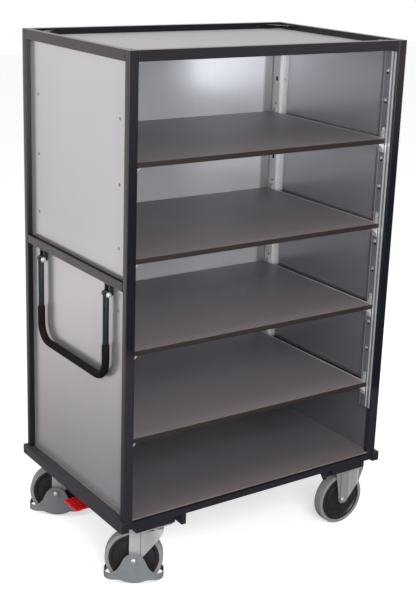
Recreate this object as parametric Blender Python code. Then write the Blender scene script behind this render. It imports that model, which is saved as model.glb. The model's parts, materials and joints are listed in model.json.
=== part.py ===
"""Shelf trolley: a four-post steel frame with three closed sides, four hook-in shelf boards over a
deck, a drop-down push handle, two swivel and two fixed casters with foot guards, and a foot brake.

Metres, +Z up. The origin is on the floor under the middle of the frame. The open front faces -Y
and the handle is at -X.
"""

import math

import bmesh
import bpy
from mathutils import Vector
from mathutils.geometry import tessellate_polygon

# Clearance between two pieces that touch, and how far a cutter runs past what it cuts
GAP = 0.0003
OVERRUN = 0.002

# Frame over its posts, and heights above the floor
FRAME_W = 1.080
FRAME_D = 0.700
FRAME_TOP_Z = 1.781
BASE_ABOVE_WHEELS = 0.0775

# Posts: rounded tubes with a closed top
POST_W = 0.034
POST_D = 0.024
POST_WALL = 0.002
POST_CORNER = 0.003

# Top rim: tubes with a ledge for the top panel, and a diagonal strip in each corner
RIM_H = 0.033
RIM_SIDE_W = 0.022
RIM_WALL = 0.002
TRAY_DEPTH = 0.0215
LEDGE_W = 0.010
GUSSET_LEG = 0.090
GUSSET_W = 0.020
GUSSET_T = 0.002
GUSSET_DROP = 0.0055

# Sheet panels with their rivets
SHEET_T = 0.0015
SIDE_RECESS = 0.0186
BACK_RECESS = 0.0150
RIVET_R = 0.004
RIVET_H = 0.0018
RIVET_INSET = 0.056
RIVET_TOP_DROP = 0.1755
RIVET_PITCH = 0.200
RIVETS = 4

# Base: end members, sills with a rebate for the deck board, caster channels and cross members
END_W = 0.030
END_OUT_X = 0.0134
END_OUT_Y = 0.0106
END_H = 0.033
END_WALL = 0.003
END_CORNER = 0.003
SILL_H = 0.030
SILL_D = 0.030
SILL_LIP = 0.003
DECK_T = 0.018
DECK_PROUD = 0.0016
CHANNEL_W = 0.150
CHANNEL_INSET = 0.124
CHANNEL_H = 0.0202
CHANNEL_WALL = 0.003
CROSS_W = 0.018
CROSS_H = 0.038
CROSS_WALL = 0.0025
CROSS_INSET = 0.1105
STRUT_H = 0.010
STRUT_END_H = 0.029
STRUT_END_L = 0.017

# Shelf boards
SHELF_T = 0.017
SHELF_ABOVE_BASE = 0.272
SHELVES = 4
SHELF_FRONT_INSET = 0.0325
SHELF_BACK_CLEAR = 0.0025
SHELF_END_CLEAR = 0.0017
BOARD_CORNER = 0.002

# Slotted standards
STANDARD_BELOW_SHELF = 0.095
STANDARD_TOP_CLEAR = 0.0055
STANDARD_T = 0.0015
STANDARD_WEB_INSET = 0.063
STANDARD_REAR_WEB_INSET = 0.0615
STANDARD_REAR_CLEAR = 0.0030
FLANGE_W = 0.027
LAP_SETBACK = 0.009
LAP_RIB_T = 0.0012
LAP_RIB_W = 0.006
LAP_RIB_PITCH = 0.016
SLOT_TOP_CLEAR = 0.070
SLOTS = 12
SLOTS_PER_SHELF = 3
SLOT_ABOVE_SHELF = 0.027
SLOT_FRONT_INSET = 0.046
SLOT_REAR_INSET = 0.043
SLOT_W = 0.006
SLOT_H = 0.016
SLOT_FOOT_W = 0.013
SLOT_FOOT_H = 0.006

# Shelf clips, each hooked in one slot and carrying a board from below
CLIP_W = 0.0125
CLIP_T = 0.0012
CLIP_BITE = 0.0004
CLIP_HEAD_H = 0.004
CLIP_ARM = 0.025
CLIP_ARM_T = 0.002
CLIP_TONGUE_T = 0.003
CLIP_TONGUE_H = 0.018

# Push handle: crossbar, clevis brackets, folding tube with a sleeve, bolts
CROSSBAR_LOW_Z = 1.0505
CROSSBAR_H = 0.0295
CROSSBAR_D = 0.015
CROSSBAR_WALL = 0.002
HANDLE_PIVOT_Z = 1.0175
HANDLE_LEG_INSET = 0.125
HANDLE_DROP = 0.288
HANDLE_BEND_R = 0.060
HANDLE_TUBE_R = 0.010
HANDLE_TUBE_WALL = 0.002
HANDLE_ABOVE_PIVOT = 0.012
GRIP_R = 0.01275
GRIP_START_DROP = 0.1675
BRACKET_INNER = 0.011
BRACKET_PLATE_T = 0.003
BRACKET_R = 0.012
PIVOT_BOLT_R = 0.004
PIVOT_HEAD_R = 0.010
PIVOT_HEAD_H = 0.009
PIVOT_NUT_R = 0.007
PIVOT_NUT_H = 0.006
PIVOT_END_H = 0.002

# Casters
WHEEL_R = 0.098
WHEEL_W = 0.040
TYRE_T = 0.0125
TYRE_SHOULDER = 0.005
HUB_RIM_W = 0.035
HUB_RIM_T = 0.012
HUB_WEB_T = 0.020
HUB_BOSS_R = 0.016
HUB_BOSS_CLEAR = 0.0008
HUB_DISH_R = 0.024
FORK_INNER = 0.024
FORK_T = 0.003
FORK_CROWN_T = 0.004
FORK_EAR_R = 0.016
FORK_TOP_EDGE_H = 0.010
PLATE_T = 0.004
PLATE_W = 0.140
PLATE_D = 0.096
PLATE_CORNER = 0.008
CASTER_FRONT_INSET = 0.048
CASTER_REAR_INSET = 0.092
AXLE_R = 0.006
AXLE_HEAD_R = 0.010
AXLE_HEAD_H = 0.0087
AXLE_COLLAR_R = 0.009

# Swivel casters: race and king pin under the plate, fork that trails, ring guard
SWIVEL_TURN_DEG = -33.0
SWIVEL_TRAIL = 0.046
SWIVEL_FORK_FRONT = 0.054
SWIVEL_EAR_L = 0.005
FORK_BEND_L = 0.018
FORK_BEND_H = 0.039
RACE_R = 0.030
RACE_H = 0.007
KING_PIN_R = 0.006
KING_NUT_R = 0.010
KING_NUT_H = 0.004
GUARD_END_CLEAR = 0.003
GUARD_HALF_W = 0.041
GUARD_WALL = 0.0025
GUARD_CORNER = 0.032
GUARD_LOW_Z = 0.026
GUARD_DIP = 0.0085
GUARD_ABOVE_AXLE = 0.0255
GUARD_END_DROP = 0.050

# Fixed casters: fork pressed with its plate, with a longer ear
FIXED_FORK_BACK = 0.035
FIXED_FORK_FRONT = 0.072
FIXED_FORK_EDGE_H = 0.065
FIXED_EAR_L = 0.010
FIXED_CROWN_LAP = 0.0013

# Foot brake: cross shaft in two hangers, ribbed pedal
BRAKE_INSET = 0.080
BRAKE_DROP = 0.018
BRAKE_SHAFT_R = 0.008
BRAKE_SHAFT_HALF_L = 0.130
BRAKE_COLLAR_R = 0.011
HANGER_Y = 0.120
HANGER_T = 0.004
HANGER_R = 0.014
HANGER_BITE = 0.0015
PEDAL_Y = 0.007
PEDAL_W = 0.088
PEDAL_REACH = 0.087
PEDAL_DROP = 0.0245
PEDAL_T = 0.006
PEDAL_HUB_R = 0.012
PEDAL_ROOT = 0.030
PEDAL_RIB_PITCH = 0.0065
PEDAL_RIB_H = 0.0015
PEDAL_RIBS = 7

# How finely curves are drawn
WHEEL_SIDES = 40
HUB_SIDES = 28
ROUND_SIDES = 16
TUBE_SIDES = 12
RIVET_SIDES = 8
CORNER_STEPS = 2
BEND_STEPS = 6

# Shapes that follow their piece's size: half of the guard's bell as (along, up), where its lower edge
# starts and ends its dip, the head's dome as (radius, out), and the tyre's shoulder as (across, in)
BELL_SHARES = ((1.0, 0.0), (0.73, 0.045), (0.57, 0.16), (0.45, 0.355), (0.37, 0.585), (0.30, 0.77),
               (0.20, 0.91), (0.10, 0.98))
DIP_SHARES = (0.48, 0.16)
FORK_BEND_SHARES = ((1.0, 1.0), (0.45, 0.52), (0.12, 0.15))
DOME_SHARES = ((0.6, 0.92), (1.0, 0.30))
SHOULDER_SHARES = ((0.3, 0.0), (1.0, 0.7))

# Sizes and places that follow from the ones above
BASE_TOP_Z = WHEEL_R * 2 + BASE_ABOVE_WHEELS
POST_X = FRAME_W / 2 - POST_W
POST_Y = FRAME_D / 2 - POST_D
RIM_LOW_Z = FRAME_TOP_Z - RIM_H
TRAY_Z = FRAME_TOP_Z - TRAY_DEPTH
SIDE_X = FRAME_W / 2 - SIDE_RECESS
BACK_Y = FRAME_D / 2 - BACK_RECESS
RIVET_Y = POST_Y - RIVET_INSET
RIVET_TOP_Z = RIM_LOW_Z - RIVET_TOP_DROP
END_X = FRAME_W / 2 + END_OUT_X - END_W
END_Y = FRAME_D / 2 + END_OUT_Y
SILL_LOW_Z = BASE_TOP_Z - SILL_H
DECK_TOP_Z = BASE_TOP_Z + DECK_PROUD
DECK_LOW_Z = DECK_TOP_Z - DECK_T
CHANNEL_X = FRAME_W / 2 - CHANNEL_INSET
CHANNEL_TOP_Z = SILL_LOW_Z - GAP
CHANNEL_LOW_Z = CHANNEL_TOP_Z - CHANNEL_H
CROSS_X = CHANNEL_X - CROSS_INSET
WEB_OUT_X = POST_X - GAP
WEB_X = WEB_OUT_X - STANDARD_T
SHELF_X = WEB_X - SHELF_END_CLEAR
SHELF_FRONT_Y = FRAME_D / 2 - SHELF_FRONT_INSET
SHELF_REAR_Y = BACK_Y - SHEET_T - SHELF_BACK_CLEAR
FLANGE_OUT_X = SIDE_X - SHEET_T - GAP
SHELF_FIRST_Z = BASE_TOP_Z + SHELF_ABOVE_BASE
STANDARD_LOW_Z = SHELF_FIRST_Z - STANDARD_BELOW_SHELF
STANDARD_TOP_Z = RIM_LOW_Z - STANDARD_TOP_CLEAR
STANDARD_WEB_END_Y = FRAME_D / 2 - STANDARD_WEB_INSET
STANDARD_REAR_WEB_END_Y = FRAME_D / 2 - STANDARD_REAR_WEB_INSET
SLOT_FIRST_Z = SHELF_FIRST_Z + SLOT_ABOVE_SHELF
SLOT_PITCH = (STANDARD_TOP_Z - SLOT_TOP_CLEAR - SLOT_FIRST_Z) / (SLOTS - 1)
SLOT_FRONT_Y = FRAME_D / 2 - SLOT_FRONT_INSET
SLOT_REAR_Y = FRAME_D / 2 - SLOT_REAR_INSET
HANDLE_X = -FRAME_W / 2
HANDLE_LEG_Y = FRAME_D / 2 - HANDLE_LEG_INSET
PLATE_TOP_Z = CHANNEL_LOW_Z - GAP
PLATE_LOW_Z = PLATE_TOP_Z - PLATE_T
CROWN_TOP_Z = PLATE_LOW_Z - RACE_H - GAP
FORK_OUT = FORK_INNER + FORK_T
HUB_R = WHEEL_R - TYRE_T - GAP
CASTER_FRONT_Y = FRAME_D / 2 - CASTER_FRONT_INSET
CASTER_REAR_Y = FRAME_D / 2 - CASTER_REAR_INSET
GUARD_HALF_L = WHEEL_R + GUARD_END_CLEAR
GUARD_TOP_Z = WHEEL_R + GUARD_ABOVE_AXLE
GUARD_END_Z = WHEEL_R - GUARD_END_DROP
BRAKE_X = BRAKE_INSET - FRAME_W / 2
BRAKE_Z = CHANNEL_LOW_Z - BRAKE_DROP
SHELF_TOPS = [SHELF_FIRST_Z + i * SLOTS_PER_SHELF * SLOT_PITCH for i in range(SHELVES)]
SLOT_ZS = [SLOT_FIRST_Z + i * SLOT_PITCH for i in range(SLOTS)]

# Finishes: colour, roughness, metallic
FINISHES = {
    "frame_paint": ((0.030, 0.027, 0.032), 0.42, 0.3),
    "sheet": ((0.56, 0.56, 0.58), 0.34, 0.9),
    "board": ((0.100, 0.092, 0.100), 0.55, 0.0),
    "zinc": ((0.62, 0.62, 0.60), 0.30, 1.0),
    "guard_steel": ((0.20, 0.22, 0.24), 0.45, 0.7),
    "tyre": ((0.27, 0.25, 0.28), 0.80, 0.0),
    "hub": ((0.030, 0.027, 0.030), 0.50, 0.1),
    "handle_steel": ((0.020, 0.022, 0.026), 0.35, 0.5),
    "grip": ((0.012, 0.011, 0.010), 0.70, 0.0),
    "pedal_red": ((0.75, 0.004, 0.010), 0.40, 0.0),
}

# Where local (u, v, w) goes when a shape is drawn along each axis
ALONG = {"X": lambda u, v, w: (w, u, v), "Y": lambda u, v, w: (u, w, v), "Z": lambda u, v, w: (u, v, w)}


def clear_scene():
    for old in list(bpy.data.objects):
        bpy.data.objects.remove(old, do_unlink=True)


def finish_material(name, finish):
    colour, roughness, metallic = FINISHES[finish]
    material = bpy.data.materials.new(name + "_" + finish)
    material.use_nodes = True
    shader = material.node_tree.nodes["Principled BSDF"]
    shader.inputs["Base Color"].default_value = (*colour, 1.0)
    shader.inputs["Roughness"].default_value = roughness
    shader.inputs["Metallic"].default_value = metallic
    material.diffuse_color = (*colour, 1.0)
    return material


def add(name, body, finish, at=(0, 0, 0), parent=None, smooth_deg=35.0):
    """Turn a bmesh into a named object with its own material."""
    bmesh.ops.recalc_face_normals(body, faces=body.faces)
    mesh = bpy.data.meshes.new(name)
    body.to_mesh(mesh)
    body.free()
    mesh.shade_smooth()
    mesh.set_sharp_from_angle(angle=math.radians(smooth_deg))
    piece = bpy.data.objects.new(name, mesh)
    piece.location = at
    piece.parent = parent
    bpy.context.collection.objects.link(piece)
    piece.data.materials.append(finish_material(name, finish))
    return piece


def guide(name, at, turn_deg=0.0):
    """An empty on a joint's axis, for the pieces that turn about it."""
    empty = bpy.data.objects.new(name, None)
    empty.location = at
    empty.rotation_euler = (0, 0, math.radians(turn_deg))
    bpy.context.collection.objects.link(empty)
    return empty


def boolean(piece, operation, name, body):
    """Cut, join or keep the part of a piece inside another body."""
    bmesh.ops.recalc_face_normals(body, faces=body.faces)
    mesh = bpy.data.meshes.new(name)
    body.to_mesh(mesh)
    body.free()
    tool = bpy.data.objects.new(name, mesh)
    tool.location = piece.location
    tool.parent = piece.parent
    tool.hide_render = True
    tool.display_type = "WIRE"
    bpy.context.collection.objects.link(tool)
    modifier = piece.modifiers.new(name, "BOOLEAN")
    modifier.operation = operation
    modifier.solver = "EXACT"
    modifier.object = tool


# Outlines

def rectangle(low, high):
    return [(low[0], low[1]), (high[0], low[1]), (high[0], high[1]), (low[0], high[1])]


def rounded(half_w, half_h, radius, steps=CORNER_STEPS):
    """A rectangle about zero with rounded corners."""
    points = []
    for quarter, (sx, sy) in enumerate(((1, 1), (-1, 1), (-1, -1), (1, -1))):
        for step in range(steps + 1):
            angle = math.pi / 2 * (quarter + step / steps)
            points.append((sx * (half_w - radius) + radius * math.cos(angle),
                           sy * (half_h - radius) + radius * math.sin(angle)))
    return points


def circle(centre, radius, sides=ROUND_SIDES):
    return arc(centre, radius, 0, math.tau * (sides - 1) / sides, sides - 1)


def arc(centre, radius, start, end, steps):
    return [(centre[0] + radius * math.cos(start + (end - start) * i / steps),
             centre[1] + radius * math.sin(start + (end - start) * i / steps)) for i in range(steps + 1)]


# Solids

def ring(body, points, height, axis):
    return [body.verts.new(ALONG[axis](u, v, height)) for u, v in points]


def join_rings(body, first, second):
    for i, vert in enumerate(first):
        j = (i + 1) % len(first)
        body.faces.new((vert, first[j], second[j], second[i]))


def flat_face(body, rings, loops):
    """Close a flat face between an outline and its holes."""
    if len(loops) == 1:
        body.faces.new(rings[0])
        return
    verts = [vert for loop in rings for vert in loop]
    for corners in tessellate_polygon([[Vector((u, v, 0)) for u, v in loop] for loop in loops]):
        body.faces.new([verts[i] for i in corners])


def prism(loops, low, high, axis="Z", body=None):
    """An outline with its holes, drawn from low to high along an axis."""
    body = body or bmesh.new()
    below = [ring(body, loop, low, axis) for loop in loops]
    above = [ring(body, loop, high, axis) for loop in loops]
    for first, second in zip(below, above):
        join_rings(body, first, second)
    flat_face(body, below, loops)
    flat_face(body, above, loops)
    return body


def cup(outer, inner, mouth, back, wall, axis="Z"):
    """A hollow prism that is open at its mouth and closed at its back."""
    body = bmesh.new()
    inside = back + wall * (1 if mouth > back else -1)
    outer_mouth, inner_mouth = ring(body, outer, mouth, axis), ring(body, inner, mouth, axis)
    outer_back, inner_back = ring(body, outer, back, axis), ring(body, inner, inside, axis)
    join_rings(body, outer_mouth, outer_back)
    join_rings(body, inner_mouth, inner_back)
    flat_face(body, [outer_mouth, inner_mouth], [outer, inner])
    body.faces.new(outer_back)
    body.faces.new(inner_back)
    return body


def plate_with_bosses(outline, back, face, bosses, axis="Z"):
    """A flat plate whose face carries turned bosses, each given as its centre and its profile of
    (radius, distance out of the face) that ends on its axis."""
    body = bmesh.new()
    out = 1 if face > back else -1
    loops = [outline] + [circle(centre, profile[0][0], sides) for centre, profile, sides in bosses]
    rings_on_face = [ring(body, loop, face, axis) for loop in loops]
    back_ring = ring(body, outline, back, axis)
    join_rings(body, rings_on_face[0], back_ring)
    body.faces.new(back_ring)
    flat_face(body, rings_on_face, loops)
    for (centre, profile, sides), last in zip(bosses, rings_on_face[1:]):
        for radius, rise in profile[1:-1]:
            following = ring(body, circle(centre, radius, sides), face + out * rise, axis)
            join_rings(body, last, following)
            last = following
        tip = body.verts.new(ALONG[axis](centre[0], centre[1], face + out * profile[-1][1]))
        for i, vert in enumerate(last):
            body.faces.new((vert, last[(i + 1) % len(last)], tip))
    return body


def turned(profile, sides, axis="Y"):
    """A turned body: a profile of (radius, along), closed on its axis or into a ring."""
    body = bmesh.new()
    solid = profile[0][0] == 0
    middle = profile[1:-1] if solid else profile
    rings = [ring(body, circle((0, 0), radius, sides), along, axis) for radius, along in middle]
    for first, second in zip(rings, rings[1:] if solid else rings[1:] + rings[:1]):
        join_rings(body, first, second)
    if solid:
        for end, last in ((profile[0], rings[0]), (profile[-1], rings[-1])):
            tip = body.verts.new(ALONG[axis](0, 0, end[1]))
            for i, vert in enumerate(last):
                body.faces.new((vert, last[(i + 1) % len(last)], tip))
    return body


def u_path(drop_start, half_width, drop, bend):
    """The handle's centre line in (y, z), down one leg and up the other."""
    points = [(-half_width, drop_start)]
    points += arc((-half_width + bend, -drop + bend), bend, math.pi, math.pi * 1.5, BEND_STEPS)
    return points + [(-y, z) for y, z in reversed(points)]


def hollow_sweep(path, outer, inner):
    """A pipe round a path in the plane x = 0, open at both ends."""
    body = bmesh.new()
    skins = {outer: [], inner: []}
    for i, (y, z) in enumerate(path):
        before, after = path[max(i - 1, 0)], path[min(i + 1, len(path) - 1)]
        heading = Vector((0, after[0] - before[0], after[1] - before[1])).normalized()
        side = Vector((1, 0, 0)).cross(heading)
        for radius, rings in skins.items():
            rings.append([body.verts.new(Vector((0, y, z)) + Vector((u, 0, 0)) + side * v)
                          for u, v in circle((0, 0), radius, TUBE_SIDES)])
    for rings in skins.values():
        for first, second in zip(rings, rings[1:]):
            join_rings(body, first, second)
    for end in (0, -1):
        join_rings(body, skins[outer][end], skins[inner][end])
    return body


# The frame

def add_posts():
    outer = rounded(POST_W / 2, POST_D / 2, POST_CORNER)
    inner = rounded(POST_W / 2 - POST_WALL, POST_D / 2 - POST_WALL, POST_CORNER - POST_WALL)
    for end, sy in (("front", -1), ("rear", 1)):
        for side, sx in (("left", -1), ("right", 1)):
            body = cup(outer, inner, BASE_TOP_Z + GAP, FRAME_TOP_Z, POST_WALL)
            add("post_" + end + "_" + side, body, "frame_paint",
                (sx * (FRAME_W - POST_W) / 2, sy * (FRAME_D - POST_D) / 2, 0))


def rim_loops(out, width, sign):
    """Section of a rim tube, from its outer face inwards, with the panel's ledge."""
    inner = out - width
    ledge_z = TRAY_Z - SHEET_T - GAP
    outline = [(out, RIM_LOW_Z), (out, FRAME_TOP_Z), (inner, FRAME_TOP_Z), (inner, ledge_z),
               (inner - LEDGE_W, ledge_z), (inner - LEDGE_W, RIM_LOW_Z)]
    hollow = rectangle((inner + RIM_WALL, RIM_LOW_Z + RIM_WALL), (out - RIM_WALL, FRAME_TOP_Z - RIM_WALL))
    return [[(sign * a, z) for a, z in loop] for loop in (outline, hollow)]


def add_rim():
    side_in = FRAME_W / 2 - RIM_SIDE_W
    for end, sy in (("front", -1), ("rear", 1)):
        body = prism(rim_loops(FRAME_D / 2, POST_D, sy), -POST_X + GAP, POST_X - GAP, "X")
        rail = add("top_rail_" + end, body, "frame_paint")
        strips = bmesh.new()
        top = FRAME_TOP_Z - GUSSET_DROP
        short_leg = GUSSET_LEG - GUSSET_W * math.sqrt(2)
        for sx in (-1, 1):
            start = side_in - GAP
            strip = [(start - GUSSET_LEG, POST_Y + RIM_WALL / 2), (start - GUSSET_LEG, POST_Y),
                     (start, POST_Y - GUSSET_LEG), (start, POST_Y - short_leg),
                     (start - short_leg, POST_Y), (start - short_leg, POST_Y + RIM_WALL / 2)]
            prism([[(sx * x, sy * y) for x, y in strip]], top - GUSSET_T, top, "Z", strips)
        boolean(rail, "UNION", "gussets_" + end, strips)
    for side, sx in (("left", -1), ("right", 1)):
        body = prism(rim_loops(FRAME_W / 2, RIM_SIDE_W, sx), -POST_Y + GAP, POST_Y - GAP, "X")
        for vert in body.verts:
            vert.co = (vert.co.y, vert.co.x, vert.co.z)
        rail = add("top_rail_" + side, body, "frame_paint")
        corners = bmesh.new()
        reach = LEDGE_W + GAP
        for sy in (-1, 1):
            low, high = (side_in - LEDGE_W - OVERRUN, POST_Y - reach), (side_in + GAP, POST_Y + OVERRUN)
            corner = rectangle(low, high)
            prism([[(sx * x, sy * y) for x, y in corner]], RIM_LOW_Z - OVERRUN, TRAY_Z, "Z", corners)
        boolean(rail, "DIFFERENCE", "ledge_mitre_" + side, corners)


def add_panels():
    half_w, half_d = FRAME_W / 2 - RIM_SIDE_W - GAP, POST_Y - GAP
    outline = rectangle((-half_w, -half_d), (half_w, half_d))
    add("top_panel", prism([outline], TRAY_Z - SHEET_T, TRAY_Z), "sheet")
    slope = math.pi / 4
    rivet = [(RIVET_R, 0.0), (RIVET_R * math.cos(slope), RIVET_H * math.sin(slope)), (0.0, RIVET_H)]
    low, high = DECK_TOP_Z + GAP, RIM_LOW_Z - GAP
    for side, sx in (("left", -1), ("right", 1)):
        rivets = [((sy * RIVET_Y, RIVET_TOP_Z - i * RIVET_PITCH), rivet, RIVET_SIDES)
                  for sy in (-1, 1) for i in range(RIVETS)]
        outline = rectangle((-POST_Y + GAP, low), (POST_Y - GAP, high))
        body = plate_with_bosses(outline, sx * (SIDE_X - SHEET_T), sx * SIDE_X, rivets, "X")
        add("side_panel_" + side, body, "sheet")
    outline = rectangle((-POST_X + GAP, low), (POST_X - GAP, high))
    add("back_panel", prism([outline], BACK_Y - SHEET_T, BACK_Y, "Y"), "sheet")


# The base

def add_base():
    wall = END_WALL
    for side, sx in (("left", -1), ("right", 1)):
        outer = rounded(END_W / 2, END_Y, END_CORNER)
        inner = rectangle((-END_W / 2 + wall, -END_Y + wall), (END_W / 2 - wall, END_Y - wall))
        body = cup(outer, inner, BASE_TOP_Z - END_H, BASE_TOP_Z, wall)
        add("end_member_" + side, body, "frame_paint", (sx * (END_X + END_W / 2), 0, 0))
    out, back = FRAME_D / 2, FRAME_D / 2 - SILL_D
    for end, sy in (("front", -1), ("rear", 1)):
        section = [(out, SILL_LOW_Z), (out, BASE_TOP_Z), (out - SILL_LIP, BASE_TOP_Z),
                   (out - SILL_LIP, DECK_LOW_Z - GAP), (back, DECK_LOW_Z - GAP), (back, SILL_LOW_Z)]
        body = prism([[(sy * y, z) for y, z in section]], -END_X + GAP, END_X - GAP, "X")
        add("sill_" + end, body, "frame_paint")
    edge_x, edge_y = END_X - GAP, FRAME_D / 2 - SILL_LIP - GAP
    notch_x, notch_y = POST_X - GAP, POST_Y - GAP
    deck = []
    for sx, sy in ((1, 1), (-1, 1), (-1, -1), (1, -1)):
        corner = [(edge_x, notch_y), (notch_x, notch_y), (notch_x, edge_y)]
        if sx != sy:
            corner.reverse()
        deck += [(sx * x, sy * y) for x, y in corner]
    add("deck_board", prism([deck], DECK_LOW_Z, DECK_TOP_Z), "board")
    outer = rectangle((-CHANNEL_W / 2, -FRAME_D / 2), (CHANNEL_W / 2, FRAME_D / 2))
    wall = CHANNEL_WALL
    half_w, half_d = CHANNEL_W / 2 - wall, FRAME_D / 2 - wall
    inner = rectangle((-half_w, -half_d), (half_w, half_d))
    for side, sx in (("left", -1), ("right", 1)):
        body = cup(outer, inner, CHANNEL_TOP_Z, CHANNEL_LOW_Z, wall)
        channel = add("caster_channel_" + side, body, "frame_paint", (sx * CHANNEL_X, 0, 0))
        if side == "left":
            boolean(channel, "UNION", "brake_hangers", hangers())
    low, high = CHANNEL_TOP_Z - CROSS_H, CHANNEL_TOP_Z
    half = CROSS_W / 2
    loops = [rectangle((-half, low), (half, high)),
             rectangle((-half + CROSS_WALL, low + CROSS_WALL), (half - CROSS_WALL, high - CROSS_WALL))]
    add("cross_member_left", prism(loops, -FRAME_D / 2, FRAME_D / 2, "Y"), "frame_paint", (-CROSS_X, 0, 0))
    end, root = FRAME_D / 2, FRAME_D / 2 - STRUT_END_L
    strut = [(-end, high), (-end, high - STRUT_END_H), (-root, high - STRUT_H), (root, high - STRUT_H),
             (end, high - STRUT_END_H), (end, high)]
    add("cross_member_right", prism([strut], -half, half, "X"), "frame_paint", (CROSS_X, 0, 0))


def hangers():
    """Two ears under the left channel that hold the brake shaft."""
    centre = (BRAKE_X + CHANNEL_X, BRAKE_Z)
    top = CHANNEL_LOW_Z + HANGER_BITE
    ear = [(centre[0] + HANGER_R, top), (centre[0] - HANGER_R, top)]
    ear += arc(centre, HANGER_R, math.pi, math.tau, ROUND_SIDES // 2)
    body = bmesh.new()
    for sy in (-1, 1):
        middle = sy * HANGER_Y
        hole = circle(centre, BRAKE_SHAFT_R + GAP)
        prism([ear, hole], middle - HANGER_T / 2, middle + HANGER_T / 2, "Y", body)
    return body


# Shelves

def add_shelves():
    depth = SHELF_FRONT_Y + SHELF_REAR_Y
    outline = rounded(SHELF_X, depth / 2, BOARD_CORNER, 1)
    for i, top in enumerate(SHELF_TOPS):
        body = prism([outline], -SHELF_T, 0)
        add("shelf_" + str(i + 1), body, "board", (0, (SHELF_REAR_Y - SHELF_FRONT_Y) / 2, top))


def front_section():
    """Section of a front standard, in distances from the middle: it laps the post and has two ribs."""
    lap_end = FRAME_D / 2 - LAP_SETBACK
    section = []
    for rib_y in (lap_end, lap_end - LAP_RIB_PITCH):
        section += [(WEB_X, rib_y), (WEB_X - LAP_RIB_T, rib_y), (WEB_X - LAP_RIB_T, rib_y - LAP_RIB_W),
                    (WEB_X, rib_y - LAP_RIB_W)]
    return section[1:] + flange_section(STANDARD_WEB_END_Y) + [(WEB_OUT_X, lap_end)]


def rear_section():
    """Section of a rear standard, which stops short of the back panel."""
    web_end = BACK_Y - SHEET_T - STANDARD_REAR_CLEAR
    return [(WEB_X, web_end)] + flange_section(STANDARD_REAR_WEB_END_Y) + [(WEB_OUT_X, web_end)]


def flange_section(wall_y):
    in_x = FLANGE_OUT_X - STANDARD_T
    return [(WEB_X, wall_y), (in_x, wall_y), (in_x, wall_y - FLANGE_W), (FLANGE_OUT_X, wall_y - FLANGE_W),
            (FLANGE_OUT_X, wall_y + STANDARD_T), (WEB_OUT_X, wall_y + STANDARD_T)]


def slot_outline(y, z):
    """An upside-down T."""
    stem, foot = SLOT_W / 2, SLOT_FOOT_W / 2
    low, shoulder, high = z - SLOT_H / 2, z - SLOT_H / 2 + SLOT_FOOT_H, z + SLOT_H / 2
    return [(y - foot, low), (y + foot, low), (y + foot, shoulder), (y + stem, shoulder), (y + stem, high),
            (y - stem, high), (y - stem, shoulder), (y - foot, shoulder)]


def clip_outline(sx, top):
    """Side view of a clip: a strip down the web, an arm under the board and a tongue below it."""
    head = top + SLOT_ABOVE_SHELF + CLIP_HEAD_H
    arm_top = top - SHELF_T - GAP
    arm_low = arm_top - CLIP_ARM_T
    root, face = WEB_X + CLIP_BITE, WEB_X - CLIP_T
    tip, tongue = face - CLIP_ARM, WEB_X - CLIP_TONGUE_T
    outline = [(root, head), (face, head), (face, arm_top), (tip, arm_top), (tip, arm_low), (tongue, arm_low),
               (tongue, arm_low - CLIP_TONGUE_H), (root, arm_low - CLIP_TONGUE_H)]
    return [(sx * x, z) for x, z in outline]


def add_standards():
    for end, sy, section, slot_y in (("front", -1, front_section(), SLOT_FRONT_Y),
                                     ("rear", 1, rear_section(), SLOT_REAR_Y)):
        for side, sx in (("left", -1), ("right", 1)):
            name = "standard_" + end + "_" + side
            body = prism([[(sx * x, sy * y) for x, y in section]], STANDARD_LOW_Z, STANDARD_TOP_Z)
            standard = add(name, body, "zinc")
            slots = bmesh.new()
            for z in SLOT_ZS:
                outline = slot_outline(sy * slot_y, z)
                prism([outline], sx * (WEB_X - OVERRUN), sx * (WEB_OUT_X + OVERRUN), "X", slots)
            boolean(standard, "DIFFERENCE", name + "_slots", slots)
            clips = bmesh.new()
            middle = sy * slot_y
            for top in SHELF_TOPS:
                prism([clip_outline(sx, top)], middle - CLIP_W / 2, middle + CLIP_W / 2, "Y", clips)
            boolean(standard, "UNION", name + "_clips", clips)


# The push handle

def pivot_bolt(grip):
    """A domed bolt and its nut, either side of a grip length about zero."""
    shank = PIVOT_BOLT_R
    profile = [(0.0, -grip - PIVOT_HEAD_H)]
    profile += [(PIVOT_HEAD_R * radius, -grip - PIVOT_HEAD_H * out) for radius, out in DOME_SHARES]
    profile += [(PIVOT_HEAD_R, -grip), (shank, -grip), (shank, grip), (PIVOT_NUT_R, grip),
                (PIVOT_NUT_R, grip + PIVOT_NUT_H), (shank, grip + PIVOT_NUT_H),
                (shank, grip + PIVOT_NUT_H + PIVOT_END_H), (0.0, grip + PIVOT_NUT_H + PIVOT_END_H)]
    return turned(profile, ROUND_SIDES)


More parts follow.
